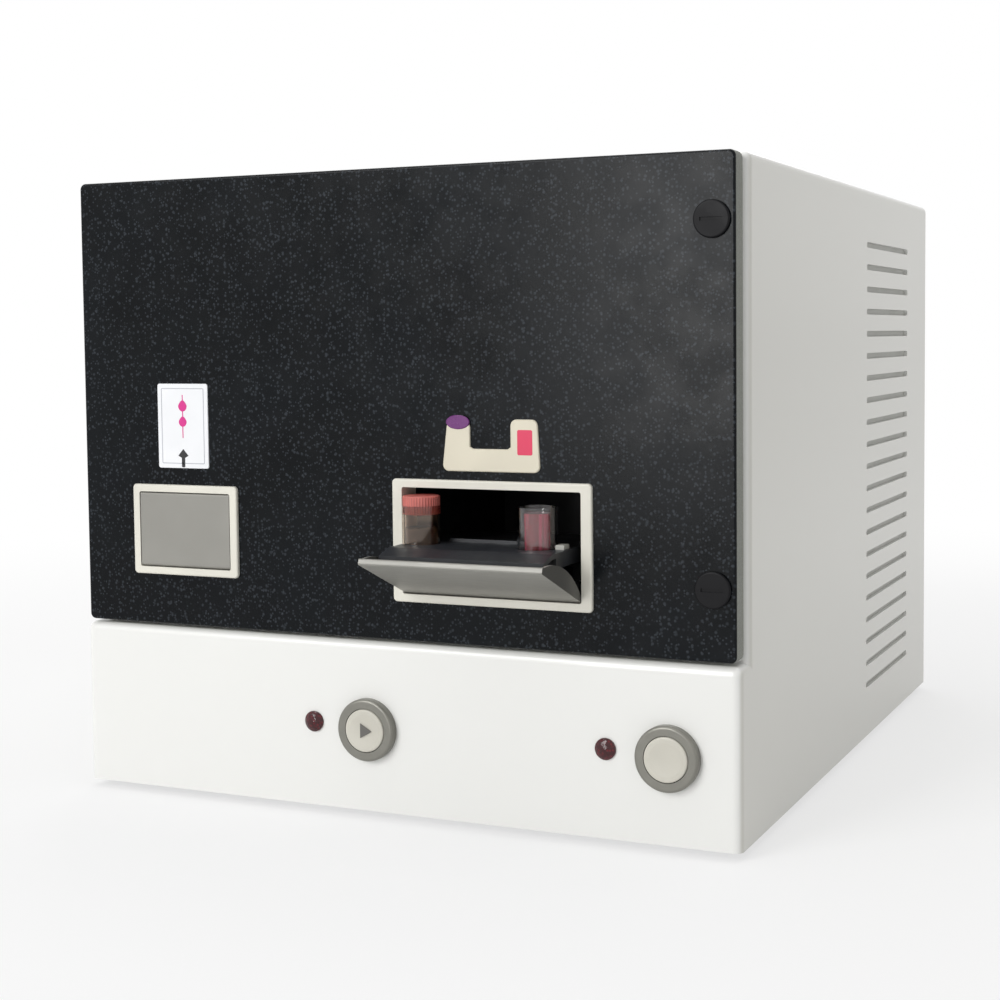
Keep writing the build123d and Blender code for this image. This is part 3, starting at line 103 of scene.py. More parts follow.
class Finish:
    """Lays out the nodes of one finish around a Principled shader. Lengths are metres on the object."""

    def __init__(self, name, colour, roughness, metallic=0.0):
        self.material = bpy.data.materials.new(name)
        self.material.use_nodes = True
        tree = self.material.node_tree
        self.nodes, self.links = tree.nodes, tree.links
        self.shader = self.nodes["Principled BSDF"]
        self.shader.inputs["Base Color"].default_value = (*colour, 1.0)
        self.shader.inputs["Roughness"].default_value = roughness
        self.shader.inputs["Metallic"].default_value = metallic
        self.colour = tuple(colour)
        self.normal = None
        self.place = self.nodes.new("ShaderNodeTexCoord")

    def set(self, socket, value):
        self.shader.inputs[socket].default_value = value
        return self

    def node(self, kind, **values):
        made = self.nodes.new(kind)
        for key, value in values.items():
            setattr(made, key, value)
        return made

    def plug(self, target, value):
        if isinstance(value, bpy.types.NodeSocket):
            self.links.new(value, target)
        else:
            target.default_value = value

    def math(self, operation, *values):
        made = self.node("ShaderNodeMath", operation=operation)
        for target, value in zip(made.inputs, values):
            self.plug(target, value)
        return made.outputs[0]

    def at(self, axis):
        split = self.node("ShaderNodeSeparateXYZ")
        self.links.new(self.place.outputs["Object"], split.inputs[0])
        return split.outputs[axis]

    def facing(self, axis):
        split = self.node("ShaderNodeSeparateXYZ")
        self.links.new(self.place.outputs["Normal"], split.inputs[0])
        return split.outputs[axis]

    def ramp(self, value, low, high, start=0.0, end=1.0):
        made = self.node("ShaderNodeMapRange", interpolation_type="SMOOTHSTEP")
        for target, given in zip(made.inputs, (value, low, high, start, end)):
            self.plug(target, given)
        return made.outputs[0]

    def mapped(self, stretch=(1.0, 1.0, 1.0), offset=(0.0, 0.0, 0.0)):
        made = self.node("ShaderNodeMapping")
        self.links.new(self.place.outputs["Object"], made.inputs["Vector"])
        made.inputs["Location"].default_value = offset
        made.inputs["Scale"].default_value = stretch
        return made.outputs[0]

    def noise(self, length, detail=3.0, stretch=(1.0, 1.0, 1.0)):
        made = self.node("ShaderNodeTexNoise")
        self.links.new(self.mapped(stretch), made.inputs["Vector"])
        made.inputs["Scale"].default_value = 1.0 / length
        made.inputs["Detail"].default_value = detail
        return made.outputs["Fac"]

    def cells(self, length, offset=(0.0, 0.0, 0.0)):
        """Distance from the nearest of scattered points, and a colour that differs from cell to cell."""
        made = self.node("ShaderNodeTexVoronoi")
        self.links.new(self.mapped(offset=offset), made.inputs["Vector"])
        made.inputs["Scale"].default_value = 1.0 / length
        return made.outputs["Distance"], made.outputs["Color"]

    def mix(self, amount, first, second):
        made = self.node("ShaderNodeMix", data_type="RGBA")
        self.plug(made.inputs[0], amount)
        for target, value in ((made.inputs[6], first), (made.inputs[7], second)):
            self.plug(target, value if isinstance(value, bpy.types.NodeSocket) else (*value, 1.0))
        return made.outputs[2]

    def paint(self, colour):
        self.links.new(colour, self.shader.inputs["Base Color"])
        return self

    def rough(self, value, low, high):
        self.links.new(self.ramp(value, 0.3, 0.7, low, high), self.shader.inputs["Roughness"])
        return self

    def bump(self, height, depth):
        made = self.node("ShaderNodeBump")
        made.inputs["Distance"].default_value = depth
        self.links.new(height, made.inputs["Height"])
        if self.normal is not None:
            self.links.new(self.normal, made.inputs["Normal"])
        self.normal = made.outputs[0]
        self.links.new(self.normal, self.shader.inputs["Normal"])
        return self

    def varied(self, length, amount):
        """The ground colour with slow, faint changes, as any moulding or coat of paint has."""
        slow = self.ramp(self.noise(length, 2.0), 0.35, 0.65)
        return self.mix(slow, self.colour, dimmed(self.colour, 1.0 - amount))

    def seen(self):
        """One where the camera, a reflection or a see-through piece looks, and nought for other light."""
        return seen_by(self.nodes, self.links)


def dimmed(colour, factor):
    return tuple(factor * channel for channel in colour)


def seen_by(nodes, links):
    """One for camera, glossy and transmitted rays, from the larger of the three, and nought otherwise."""
    path = nodes.new("ShaderNodeLightPath")
    value = path.outputs["Is Camera Ray"]
    for name in ("Is Glossy Ray", "Is Transmission Ray"):
        larger = nodes.new("ShaderNodeMath")
        larger.operation = "MAXIMUM"
        links.new(value, larger.inputs[0])
        links.new(path.outputs[name], larger.inputs[1])
        value = larger.outputs[0]
    return value


def moulded(name, colour, roughness=0.42, grain=0.0007, depth=0.00001, variation=0.06):
    """Moulded plastic: fine spark grain, faint shade changes and a slightly uneven gloss."""
    made = Finish(name, colour, roughness)
    made.paint(made.varied(0.03, variation))
    made.rough(made.noise(0.012), roughness - 0.05, roughness + 0.06)
    made.bump(made.noise(grain, 2.0), depth)
    return made


def brushed(name, colour, roughness, stretch, metallic=1.0):
    """Brushed metal: long fine scratches across the stretched axis, on a slow cloud of tarnish."""
    made = Finish(name, colour, roughness, metallic)
    made.paint(made.varied(0.02, 0.12))
    lines = made.noise(0.0006, 2.0, stretch)
    made.rough(lines, roughness - 0.08, roughness + 0.10)
    made.bump(lines, 0.000008)
    return made


def see_through(name, colour, roughness=0.06, ior=1.49, gloss=0.5):
    """Clear plastic or glass: light passes through, with a faint wave and a few dull spots."""
    made = Finish(name, colour, roughness)
    made.set("Transmission Weight", 1.0).set("IOR", ior).set("Specular IOR Level", gloss)
    made.rough(made.noise(0.006), roughness, roughness + 0.03)
    made.bump(made.noise(0.004, 1.0), 0.00002)
    return made


def housing_paint(colours):
    """Glossy moulded housing: a fine orange peel under a clear gloss, with painted shade that makes its sides
    darker and greyer.
    """
    made = Finish("pale_housing_gloss", colours.housing, 0.30)
    ground = made.varied(0.20, 0.008)
    # Painted shade: faces that look along X, the housing's sides, are painted darker and greyer than its
    # front.
    side = made.ramp(made.math("ABSOLUTE", made.facing("X")), 0.60, 0.98)
    painted_side_shade = tuple(c * f for c, f in zip(colours.housing, (0.78, 0.77, 0.73)))
    made.paint(made.mix(side, ground, painted_side_shade))
    made.bump(made.noise(0.0016, 1.0), 0.0000025)
    return made.set("Coat Weight", 0.35).set("Coat Roughness", 0.08)


def speckled_door(colours, sizes):
    """The door's board: a near-black glossy face with grey flecks of three sizes, bare grey sides."""
    made = Finish("speckled_black_door", colours.door, 0.24)
    ground = made.varied(0.05, 0.35)
    for length, chosen, radius, offset in (
        (sizes.fleck, 0.55, 0.46, (0.0, 0.0, 0.0)),
        (0.60 * sizes.fleck, 0.50, 0.50, (3.1, 1.7, 5.3)),
        (1.6 * sizes.fleck, 0.80, 0.34, (7.7, 2.9, 1.1)),
    ):
        distance, chance = made.cells(length, offset=offset)
        parts = made.node("ShaderNodeSeparateColor")
        made.links.new(chance, parts.inputs[0])
        near = made.ramp(distance, radius, 0.35 * radius)
        picked = made.ramp(parts.outputs[0], chosen, chosen + 0.05)
        fleck = made.math("MULTIPLY", near, picked)
        strength = made.math("MULTIPLY", fleck, made.ramp(parts.outputs[1], 0.0, 1.0, 0.05, 0.75))
        ground = made.mix(strength, ground, tuple(colours.door_fleck))
    skin_depth, skin_blend = 0.0006, 0.0004
    skin = made.ramp(made.at("Y"), door_front + skin_depth, door_front + skin_depth + skin_blend)
    board = made.mix(made.ramp(made.noise(0.0008, 3.0), 0.4, 0.6), tuple(colours.door_side),
                     dimmed(colours.door_side, 0.85))
    made.paint(made.mix(skin, ground, board))
    rough = made.math("ADD", made.ramp(made.noise(0.015), 0.3, 0.7, 0.20, 0.28),
                      made.math("MULTIPLY", skin, 0.32))
    made.links.new(rough, made.shader.inputs["Roughness"])
    made.bump(made.noise(0.0016, 2.0), 0.000012)
    return made.set("Specular IOR Level", 0.13)


def port_flap_finish(colours):
    """The flap's satin grey paint with a fine level brushing under it, and painted shade that darkens its
    side cheeks.
    """
    made = Finish("flap_satin_grey", colours.flap, 0.36, 0.15)
    # Painted shade: faces that look along X, the flap's cheeks, are painted much darker.
    painted_cheek_shade = made.ramp(made.math("ABSOLUTE", made.facing("X")), 0.75, 0.95)
    made.paint(made.mix(painted_cheek_shade, made.varied(0.03, 0.05), dimmed(colours.flap, 0.38)))
    lines = made.noise(0.0005, 2.0, (0.06, 1.0, 1.0))
    made.rough(lines, 0.30, 0.42)
    made.bump(lines, 0.000006)
    return made


def carrier_finish(colours):
    """Dark slate moulding with painted shade that turns the deck black behind its lip; the small clip beside
    the sleeve is paler.
    """
    made = Finish("carrier_slate", colours.carrier, 0.38)
    ground = made.varied(0.015, 0.2)
    blend, clip_height = 0.0001, 0.0022
    sleeve_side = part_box("open_sleeve")[1].x
    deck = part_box("right_carrier")[1].z - clip_height
    beside = made.ramp(made.at("X"), sleeve_side - blend, sleeve_side + 2 * blend)
    above = made.ramp(made.at("Z"), deck, deck + 2 * blend)
    clip = made.math("MULTIPLY", beside, above)
    # Painted shade: the deck behind its lip is painted near black, where it lies in shade.
    lip_back, lip_blend = door_front + 0.0085, 0.0025
    shade_behind_lip = made.ramp(made.at("Y"), lip_back, lip_back + lip_blend)
    ground = made.mix(shade_behind_lip, ground, (0.006, 0.006, 0.007))
    made.paint(made.mix(clip, ground, (0.42, 0.42, 0.38)))
    made.rough(made.noise(0.01), 0.32, 0.44)
    made.bump(made.noise(0.0006, 2.0), 0.00001)
    return made


def ribbed_cap(colours):
    """Salmon push-in cap with fine upright grip ribs around its skirt, and painted shade in the grooves
    between the ribs.
    """
    made = Finish("tube_cap_salmon", colours.cap, 0.45)
    low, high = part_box("tube_cap")
    x = made.math("SUBTRACT", made.at("X"), (low.x + high.x) / 2)
    y = made.math("SUBTRACT", made.at("Y"), (low.y + high.y) / 2)
    rib_count = 40.0
    turn = made.math("MULTIPLY", made.math("ARCTAN2", y, x), rib_count)
    skirt = made.ramp(made.math("ABSOLUTE", made.facing("Z")), 0.7, 0.3)
    ribs = made.math("MULTIPLY", made.math("SINE", turn), skirt)
    # Painted shade: the grooves between the ribs are painted darker.
    dark = dimmed(colours.cap, 0.55)
    made.paint(made.mix(made.ramp(ribs, -0.2, -1.0, 0.0, 0.6), made.varied(0.006, 0.12), dark))
    made.bump(ribs, 0.00012)
    return made.set("Subsurface Weight", 0.08)


def sample_finish(colours):
    """Glossy tube of dark red sample with faint upright streaks."""
    made = Finish("sample_dark_red", colours.sample, 0.12)
    streaks = made.ramp(made.noise(0.0022, 1.0, (1.0, 1.0, 0.05)), 0.35, 0.65)
    made.paint(made.mix(streaks, tuple(colours.sample), (0.36, 0.010, 0.045)))
    made.bump(made.noise(0.004, 1.0), 0.00002)
    return made.set("Coat Weight", 0.6).set("Coat Roughness", 0.05)


def lamp_lens(colours):
    """Unlit ruby lens: see-through red with small facets on its back."""
    made = see_through("lamp_ruby_lens", colours.lamp, 0.10, 1.50)
    made.set("Transmission Weight", 0.35)
    facets, _ = made.cells(0.0016)
    made.paint(made.mix(made.ramp(facets, 0.0, 0.6), tuple(colours.lamp), dimmed(colours.lamp, 0.3)))
    made.bump(facets, 0.00015)
    return made


def circuit_board():
    """Green solder mask with copper tracks that run both ways, and dark chips above it."""
    mask = (0.012, 0.10, 0.045)
    made = Finish("circuit_board_green", mask, 0.35)
    tracks = made.node("ShaderNodeTexBrick")
    made.links.new(made.mapped((1.0, 1.0, 0.0)), tracks.inputs["Vector"])
    tracks.inputs["Scale"].default_value = 60.0
    tracks.inputs["Mortar Size"].default_value = 0.04
    ground = made.mix(tracks.outputs["Fac"], mask, (0.03, 0.17, 0.07))
    low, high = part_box("main_board")
    chip_height, blend = 0.0100, 0.0004
    above = made.ramp(made.at("Z"), low.z + chip_height, low.z + chip_height + blend)
    chip = made.mix(made.ramp(made.noise(0.001), 0.4, 0.6), (0.016, 0.016, 0.018), (0.03, 0.03, 0.032))
    made.paint(made.mix(above, ground, chip))
    made.bump(made.noise(0.0008, 2.0), 0.00001)
    return made


def latch_finish():
    """Deep black knob with a soft sheen."""
    made = moulded("latch_knob_black", (0.0035, 0.0035, 0.0045), 0.40, 0.0006)
    return made.set("Specular IOR Level", 0.15)


def satin_bezel():
    """Satin plated bezel: a soft metallic grey with very fine turning marks."""
    made = Finish("button_bezel_satin", (0.215, 0.210, 0.185), 0.36, 0.5)
    made.paint(made.varied(0.01, 0.06))
    made.rough(made.noise(0.004), 0.30, 0.38)
    made.bump(made.noise(0.0003, 2.0), 0.000003)
    return made


def bottle_plastic():
    """Milky bottle with a mould seam's faint waviness and light passing into it."""
    made = moulded("milky_bottle", (0.75, 0.76, 0.72), 0.40, 0.002, 0.00004)
    return made.set("Subsurface Weight", 0.25).set("Transmission Weight", 0.25)


def finishes(colours, sizes):
    """One finish for every material slot of the record."""
    steel = (0.56, 0.56, 0.57)
    return {
        "housing_white": housing_paint(colours),
        "door_black": speckled_door(colours, sizes),
        "frame_beige": moulded("bezel_moulding", colours.bezel, 0.40, 0.0006),
        "flap_grey": port_flap_finish(colours),
        "liner_black": moulded("liner_black_moulding", (0.006, 0.006, 0.007), 0.55, 0.0009, 0.00002),
        "carrier_dark": carrier_finish(colours),
        "amber_plastic": see_through("tube_wall_amber", (0.95, 0.80, 0.68), 0.04, gloss=0.18),
        "clear_plastic": see_through("sleeve_clear", (0.98, 0.97, 0.97), 0.02, gloss=0.12),
        "cap_salmon": ribbed_cap(colours),
        "sample_red": sample_finish(colours),
        "button_beige": moulded("button_cap_moulding", (0.58, 0.56, 0.49), 0.38, 0.0006),
        "bezel_grey": satin_bezel(),
        "light_red": lamp_lens(colours),
        "latch_black": latch_finish(),
        "feet_rubber": moulded("feet_rubber", (0.02, 0.02, 0.02), 0.75, 0.0012, 0.00004, 0.3),
        "screen_grey": moulded("screen_grey", colours.screen, 0.6),
        "steel": brushed("turned_steel", steel, 0.28, (1.0, 1.0, 0.1)),
        "sheet_steel": brushed("tray_sheet_steel", (0.50, 0.50, 0.51), 0.38, (0.08, 1.0, 1.0)),
        "rear_sheet": moulded("rear_sheet_paint", (0.60, 0.60, 0.575), 0.48, 0.0010, 0.00003),
        "socket_steel": brushed("socket_shell_steel", (0.62, 0.62, 0.63), 0.25, (0.15, 1.0, 1.0)),
        "chrome_wire": brushed("guard_chrome_wire", (0.75, 0.75, 0.76), 0.14, (1.0, 1.0, 1.0)),
        "aluminium": brushed("milled_aluminium", (0.68, 0.69, 0.70), 0.32, (0.08, 1.0, 1.0)),
        "anodised_black": moulded("anodised_black", (0.014, 0.014, 0.016), 0.42, 0.0004),
        "lens_glass": see_through("lens_glass", (0.97, 0.98, 0.98), 0.02, 1.52),
        "quartz": see_through("quartz_cell", (0.98, 0.98, 0.99), 0.02, 1.46),
        "board_green": circuit_board(),
        "black_plastic": moulded("black_moulding", (0.018, 0.018, 0.018), 0.45),
        "rocker_black": moulded("rocker_black", (0.012, 0.012, 0.013), 0.33),
        "fitting_white": moulded("fitting_white", (0.72, 0.72, 0.69), 0.42),
        "bottle_white": bottle_plastic(),
        "cap_blue": moulded("bottle_cap_blue", (0.02, 0.10, 0.34), 0.42),
    }


library = {}


def slot_finish(slot_name):
    """The finish for a slot, made once."""
    if not library:
        scene = bpy.context.scene
        made = finishes(scene.cytometer_colours, scene.cytometer_sizes)
        library.update({slot: finish.material for slot, finish in made.items()})
    return library[slot_name]


def dress(*names):
    """Give each CAD node the finish of its own material slot in the record."""
    slots = {row["node"]: row["material_slot"] for row in frame["record"]["subparts"]}
    for name in names:
        mesh = frame["nodes"][name].data
        mesh.materials.clear()
        mesh.materials.append(slot_finish(slots[name]))


# Shapes

def make_piece(name, points, faces, material, body, slot, smooth=True):
    """Put whole arrays of points and faces into a mesh, and let it ride on a body of the frame."""
    mesh = bpy.data.meshes.new(name)
    mesh.from_pydata(np.asarray(points, float).tolist(), [], faces)
    mesh.update()
    piece = bpy.data.objects.new(name, mesh)
    bpy.context.scene.collection.objects.link(piece)
    mesh.materials.append(material)
    if smooth:
        mesh.shade_smooth()
        mesh.set_sharp_from_angle(angle=radians(35))
    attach(piece, body)
    return piece


def rounded_rectangle(x0, x1, z0, z1, radius, steps=8):
    """Four quarter circles joined by straight sides, anticlockwise as seen from the front."""
    turn = np.linspace(0.0, np.pi / 2, steps)
    corners = ((x1 - radius, z0 + radius, -np.pi / 2), (x1 - radius, z1 - radius, 0.0),
               (x0 + radius, z1 - radius, np.pi / 2), (x0 + radius, z0 + radius, np.pi))
    rows = [np.column_stack((x + radius * np.cos(turn + start), z + radius * np.sin(turn + start)))
            for x, z, start in corners]
    return np.vstack(rows)


def oval(x, z, width, height, steps=40, pinch=0.0):
    """An ellipse whose sides draw in towards its top by pinch, which turns it into a drop."""
    turn = np.linspace(0.0, 2 * np.pi, steps, endpoint=False)
    sides = 1.0 - pinch * np.clip(np.sin(turn), 0.0, 1.0)
    return np.column_stack((x + width / 2 * sides * np.cos(turn), z + height / 2 * np.sin(turn)))


def drawn_in(outline, distance):
    """The outline moved inwards: each point goes along the mean of its two sides' inward normals."""
    after = np.roll(outline, -1, axis=0) - outline
    after /= np.linalg.norm(after, axis=1, keepdims=True) + 1e-12
    before = np.roll(after, 1, axis=0)
    inward = np.column_stack((-(after + before)[:, 1], (after + before)[:, 0]))
    length = np.linalg.norm(inward, axis=1, keepdims=True) + 1e-12
    return outline + distance * inward / length


def plaque(outline, back, depth, edge):
    """A thin plate on an upright face: its outline at the back, again just below its front, then drawn in
    by the edge at the front, with both ends closed."""
    rings = [(outline, back), (outline, back - depth + edge), (drawn_in(outline, edge), back - depth)]
    points = np.vstack([np.column_stack((ring[:, 0], np.full(len(ring), y), ring[:, 1]))
                        for ring, y in rings])
    count = len(outline)
    here = np.arange(count)
    there = (here + 1) % count
    faces = []
    for level in range(len(rings) - 1):
        low, high = level * count, (level + 1) * count
        faces += np.column_stack((low + here, low + there, high + there, high + here)).tolist()
    faces.append((count * (len(rings) - 1) + here).tolist())
    faces.append(here[::-1].tolist())
    return points, faces


def hoop(outer, inner, back, depth):
    """A flat frame between two outlines with equal numbers of points: both walls, its face and its back."""
    rings = ((outer, back), (outer, back - depth), (inner, back - depth), (inner, back))
    points = np.vstack([np.column_stack((ring[:, 0], np.full(len(ring), y), ring[:, 1]))
                        for ring, y in rings])
    count = len(outer)
    here = np.arange(count)
    there = (here + 1) % count
    faces = []
    for level in range(4):
        low, high = level * count, ((level + 1) % 4) * count
        faces += np.column_stack((low + here, low + there, high + there, high + here)).tolist()
    return points, faces


def turned(profile, x, y, steps=64):
    """A profile of (radius, height) rows carried round an upright line, closed at its two poles."""
    profile = np.asarray(profile, float)
    turn = np.linspace(0.0, 2 * np.pi, steps, endpoint=False)
    radius, height = profile[1:-1, 0], profile[1:-1, 1]
    ring = np.stack((x + radius[:, None] * np.cos(turn), y + radius[:, None] * np.sin(turn),
                     np.repeat(height[:, None], steps, axis=1)), axis=2)
    points = np.vstack((ring.reshape(-1, 3), (x, y, profile[0, 1]), (x, y, profile[-1, 1])))
    rows = len(radius)
    here = np.arange(steps)
    there = (here + 1) % steps
    faces = []
    for level in range(rows - 1):
        low, high = level * steps, (level + 1) * steps
        faces += np.column_stack((low + here, low + there, high + there, high + here)).tolist()
    bottom, top, last = rows * steps, rows * steps + 1, (rows - 1) * steps
    faces += np.column_stack((np.full(steps, bottom), there, here)).tolist()
    faces += np.column_stack((np.full(steps, top), last + here, last + there)).tolist()
    return points, faces


# Operators

class CYTOMETER_OT_housing(bpy.types.Operator):
    """Finish the housing shell, its dust screens, its tray and its feet"""
    bl_idname = "cytometer.housing"
    bl_label = "Housing"

    def execute(self, context):
        dress("housing_shell", "base_tray", "rubber_feet", "louvre_screens")
        return {"FINISHED"}


class CYTOMETER_OT_door(bpy.types.Operator):
    """Finish the speckled front door, its hinges and its latches"""
    bl_idname = "cytometer.door"
    bl_label = "Front Door"

    def execute(self, context):
        dress("door_panel", "hinge_brackets", "hinge_pins", "upper_latch", "lower_latch", "latch_strikes")
        return {"FINISHED"}


class CYTOMETER_OT_ports(bpy.types.Operator):
    """Finish both tube ports: bezels, liners, rods, flaps and carriers"""
    bl_idname = "cytometer.ports"
    bl_label = "Tube Ports"

    def execute(self, context):
        dress("right_port_bezel", "left_port_bezel", "right_port_liner", "left_port_liner",
              "guide_rods", "right_flap", "left_flap", "right_carrier", "left_carrier")
        return {"FINISHED"}


class CYTOMETER_OT_tubes(bpy.types.Operator):
    """Finish the tubes and fill the capped one"""
    bl_idname = "cytometer.tubes"
    bl_label = "Tubes"

    def execute(self, context):
        dress("capped_tube", "tube_cap", "open_sleeve", "sample_tube", "check_tube")
        low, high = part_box("capped_tube")
        x, y = (low.x + high.x) / 2, (low.y + high.y) / 2
        wall, base, fill = 1.25 * millimetre, 1.55 * millimetre, 21.0 * millimetre
        corner = 1.0 * millimetre
        radius = (high.x - low.x) / 2 - wall
        floor, level = low.z + base, low.z + fill
        profile = ((0.0, floor), (radius - corner, floor), (radius, floor + corner), (radius, level),
                   (radius - 0.0006, level - 0.0005), (radius - 0.002, level - 0.0008),
                   (0.0, level - 0.0009))
        liquid = see_through("clear_brown_liquid", (0.16, 0.11, 0.07), 0.03, 1.34)
        liquid.set("Transmission Weight", 0.75)
        make_piece("capped_tube_liquid", *turned(profile, x, y), liquid.material, "right_carrier",
                   "amber_plastic")
        return {"FINISHED"}


class CYTOMETER_OT_cards(bpy.types.Operator):
    """Make the picture card above the left port and the pictured rack above the right port"""
    bl_idname = "cytometer.cards"
    bl_label = "Picture Cards"

    def execute(self, context):
        colours, sizes = context.scene.cytometer_colours, context.scene.cytometer_sizes
        self.left_card(colours, sizes)
        self.right_rack(colours, sizes)
        return {"FINISHED"}

    def left_card(self, colours, sizes):
        """A white card with a thin frame line, two drops on a stalk and a notch at its foot."""
        white = moulded("card_white", colours.card, 0.35, 0.0008, 0.000004, 0.03).material
        grey = moulded("card_line_grey", (0.45, 0.46, 0.50), 0.4, 0.0008, 0.000004).material
        magenta = moulded("card_drop_magenta", colours.card_mark, 0.4, 0.0008, 0.000004).material
        dark = moulded("card_notch_black", (0.01, 0.01, 0.012), 0.4, 0.0008, 0.000004).material
        x0, z0 = sizes.card_left, sizes.card_low
        x1, z1 = x0 + sizes.card_width, z0 + sizes.card_height
        middle = (x0 + x1) / 2
        back, face = door_front, door_front - sizes.card_depth
        step = sizes.print_depth
        card = rounded_rectangle(x0, x1, z0, z1, 0.0012)
        make_piece("left_card", *plaque(card, back, sizes.card_depth, 0.00015), white, "door",
                   "housing_white")
        line = rounded_rectangle(x0 + 0.0022, x1 - 0.0022, z0 + 0.0022, z1 - 0.0022, 0.0008)
        make_piece("left_card_frame_line", *hoop(line, drawn_in(line, 0.0004), face, step), grey, "door",
                   "housing_white", smooth=False)
        for name, height, size in (("upper", 0.0310, 0.0056), ("lower", 0.0232, 0.0052)):
            drop = oval(middle, z0 + height, 0.9 * size, size, pinch=0.35)
            make_piece("left_card_" + name + "_drop", *plaque(drop, face, step, 0.00002), magenta, "door",
                       "cap_salmon", smooth=False)
        stalk = rounded_rectangle(middle - 0.0003, middle + 0.0003, z0 + 0.0150, z0 + 0.0365, 0.00025, 4)
        make_piece("left_card_stalk", *plaque(stalk, face, 0.6 * step, 0.00002), magenta, "door",
                   "cap_salmon", smooth=False)
        notch = rounded_rectangle(middle - 0.0010, middle + 0.0010, z0 + 0.0004, z0 + 0.0068, 0.0006)
        make_piece("left_card_notch", *plaque(notch, face, step, 0.00002), dark, "door", "latch_black",
                   smooth=False)
        half, barb, tail, tip = 0.0030, 0.0062, 0.0046, 0.0096
        arrow = np.array(((middle - half, z0 + barb), (middle, z0 + tail), (middle + half, z0 + barb),
                          (middle, z0 + tip)))
        make_piece("left_card_arrow", *plaque(arrow, face, 0.8 * step, 0.00002), dark, "door", "latch_black",
                   smooth=False)

    def right_rack(self, colours, sizes):
        """A flat picture in low relief: a rack with an upturned end at each side, and the two tubes' tops."""
        cream = moulded("rack_cream", colours.rack, 0.35, 0.0008, 0.00001).material
        purple = moulded("rack_cap_purple", colours.purple, 0.3, 0.0008, 0.00001).material
        red = moulded("rack_label_red", (0.70, 0.02, 0.09), 0.35, 0.0008, 0.00001).material
        corner, quarter = 0.0030, 8
        foot = rounded_rectangle(0.0320, 0.0810, 0.1685, 0.1795, corner)
        right_end = rounded_rectangle(0.0665, 0.0800, 0.1750, 0.1927, corner)
        left_end = rounded_rectangle(0.0340, 0.0460, 0.1750, 0.1915, corner)
        dip = np.array(((0.0665, 0.1800), (0.0650, 0.1790), (0.0475, 0.1790), (0.0460, 0.1800)))
        tops = slice(quarter, 3 * quarter)
        outline = np.vstack((foot[:quarter], right_end[tops], dip, left_end[tops], foot[3 * quarter:]))
        make_piece("right_card_rack", *plaque(outline, door_front, 0.0010, 0.0004), cream, "door",
                   "frame_beige")
        cap = oval(0.0400, 0.1912, 0.0120, 0.0066)
        make_piece("right_card_cap", *plaque(cap, door_front - 0.0008, 0.0006, 0.0003), purple, "door",
                   "frame_beige")
        label = rounded_rectangle(0.0700, 0.0775, 0.1765, 0.1880, 0.0008)
        make_piece("right_card_label", *plaque(label, door_front - 0.0009, 0.0002, 0.00005), red, "door",
                   "cap_salmon")


class CYTOMETER_OT_controls(bpy.types.Operator):
    """Finish the push buttons and the lamps, and put a start triangle on the left button"""
    bl_idname = "cytometer.controls"
    bl_label = "Buttons and Lamps"

    def execute(self, context):
        dress("button_bezels", "left_button_cap", "right_button_cap", "button_switches",
              "status_lights", "light_holders")
        low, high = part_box("left_button_cap")
        x, z, size = (low.x + high.x) / 2, (low.z + high.z) / 2, context.scene.cytometer_sizes.symbol
        ink = moulded("start_symbol_ink", (0.12, 0.115, 0.105), 0.5).material
        turn = np.radians((0.0, 120.0, 240.0))
        corners = np.column_stack((x + 0.55 * size * np.cos(turn), z + 0.55 * size * np.sin(turn)))
        make_piece("start_symbol", *plaque(corners, low.y + 0.00005, 0.00012, 0.00003), ink, "left_button",
                   "latch_black", smooth=False)
        return {"FINISHED"}


class CYTOMETER_OT_back(bpy.types.Operator):
    """Finish everything on the back: panel, screws, fan, mains inlet, sockets and hose fittings"""
    bl_idname = "cytometer.back"
    bl_label = "Back Panel"

    def execute(self, context):
        dress("rear_panel", "rear_screws", "fan_housing", "fan_rotor", "fan_guard", "power_inlet",
              "rocker_frame", "power_rocker", "data_sockets", "fluid_fittings")
        return {"FINISHED"}


class CYTOMETER_OT_optics(bpy.types.Operator):
    """Finish the optical bench and what stands on it"""
    bl_idname = "cytometer.optics"
    bl_label = "Optics"

    def execute(self, context):
        dress("bench_posts", "optical_bench", "laser_module", "beam_optics", "lenses",
              "flow_cell_mount", "flow_cell", "detectors", "filter_blocks")
        return {"FINISHED"}


class CYTOMETER_OT_fluidics(bpy.types.Operator):
    """Finish the syringe pump, the valves, the roller pump and the bottles"""
    bl_idname = "cytometer.fluidics"
    bl_label = "Fluidics"

    def execute(self, context):
        dress("syringe_pump_frame", "lead_screw", "syringe_barrel", "syringe_plunger", "valve_manifold",
              "roller_pump_body", "roller_pump_rotor", "reagent_bottles", "bottle_caps")
        return {"FINISHED"}


class CYTOMETER_OT_electronics(bpy.types.Operator):
    """Finish the power supply and the main board"""
    bl_idname = "cytometer.electronics"
    bl_label = "Electronics"

    def execute(self, context):
        dress("power_supply", "main_board")
        return {"FINISHED"}


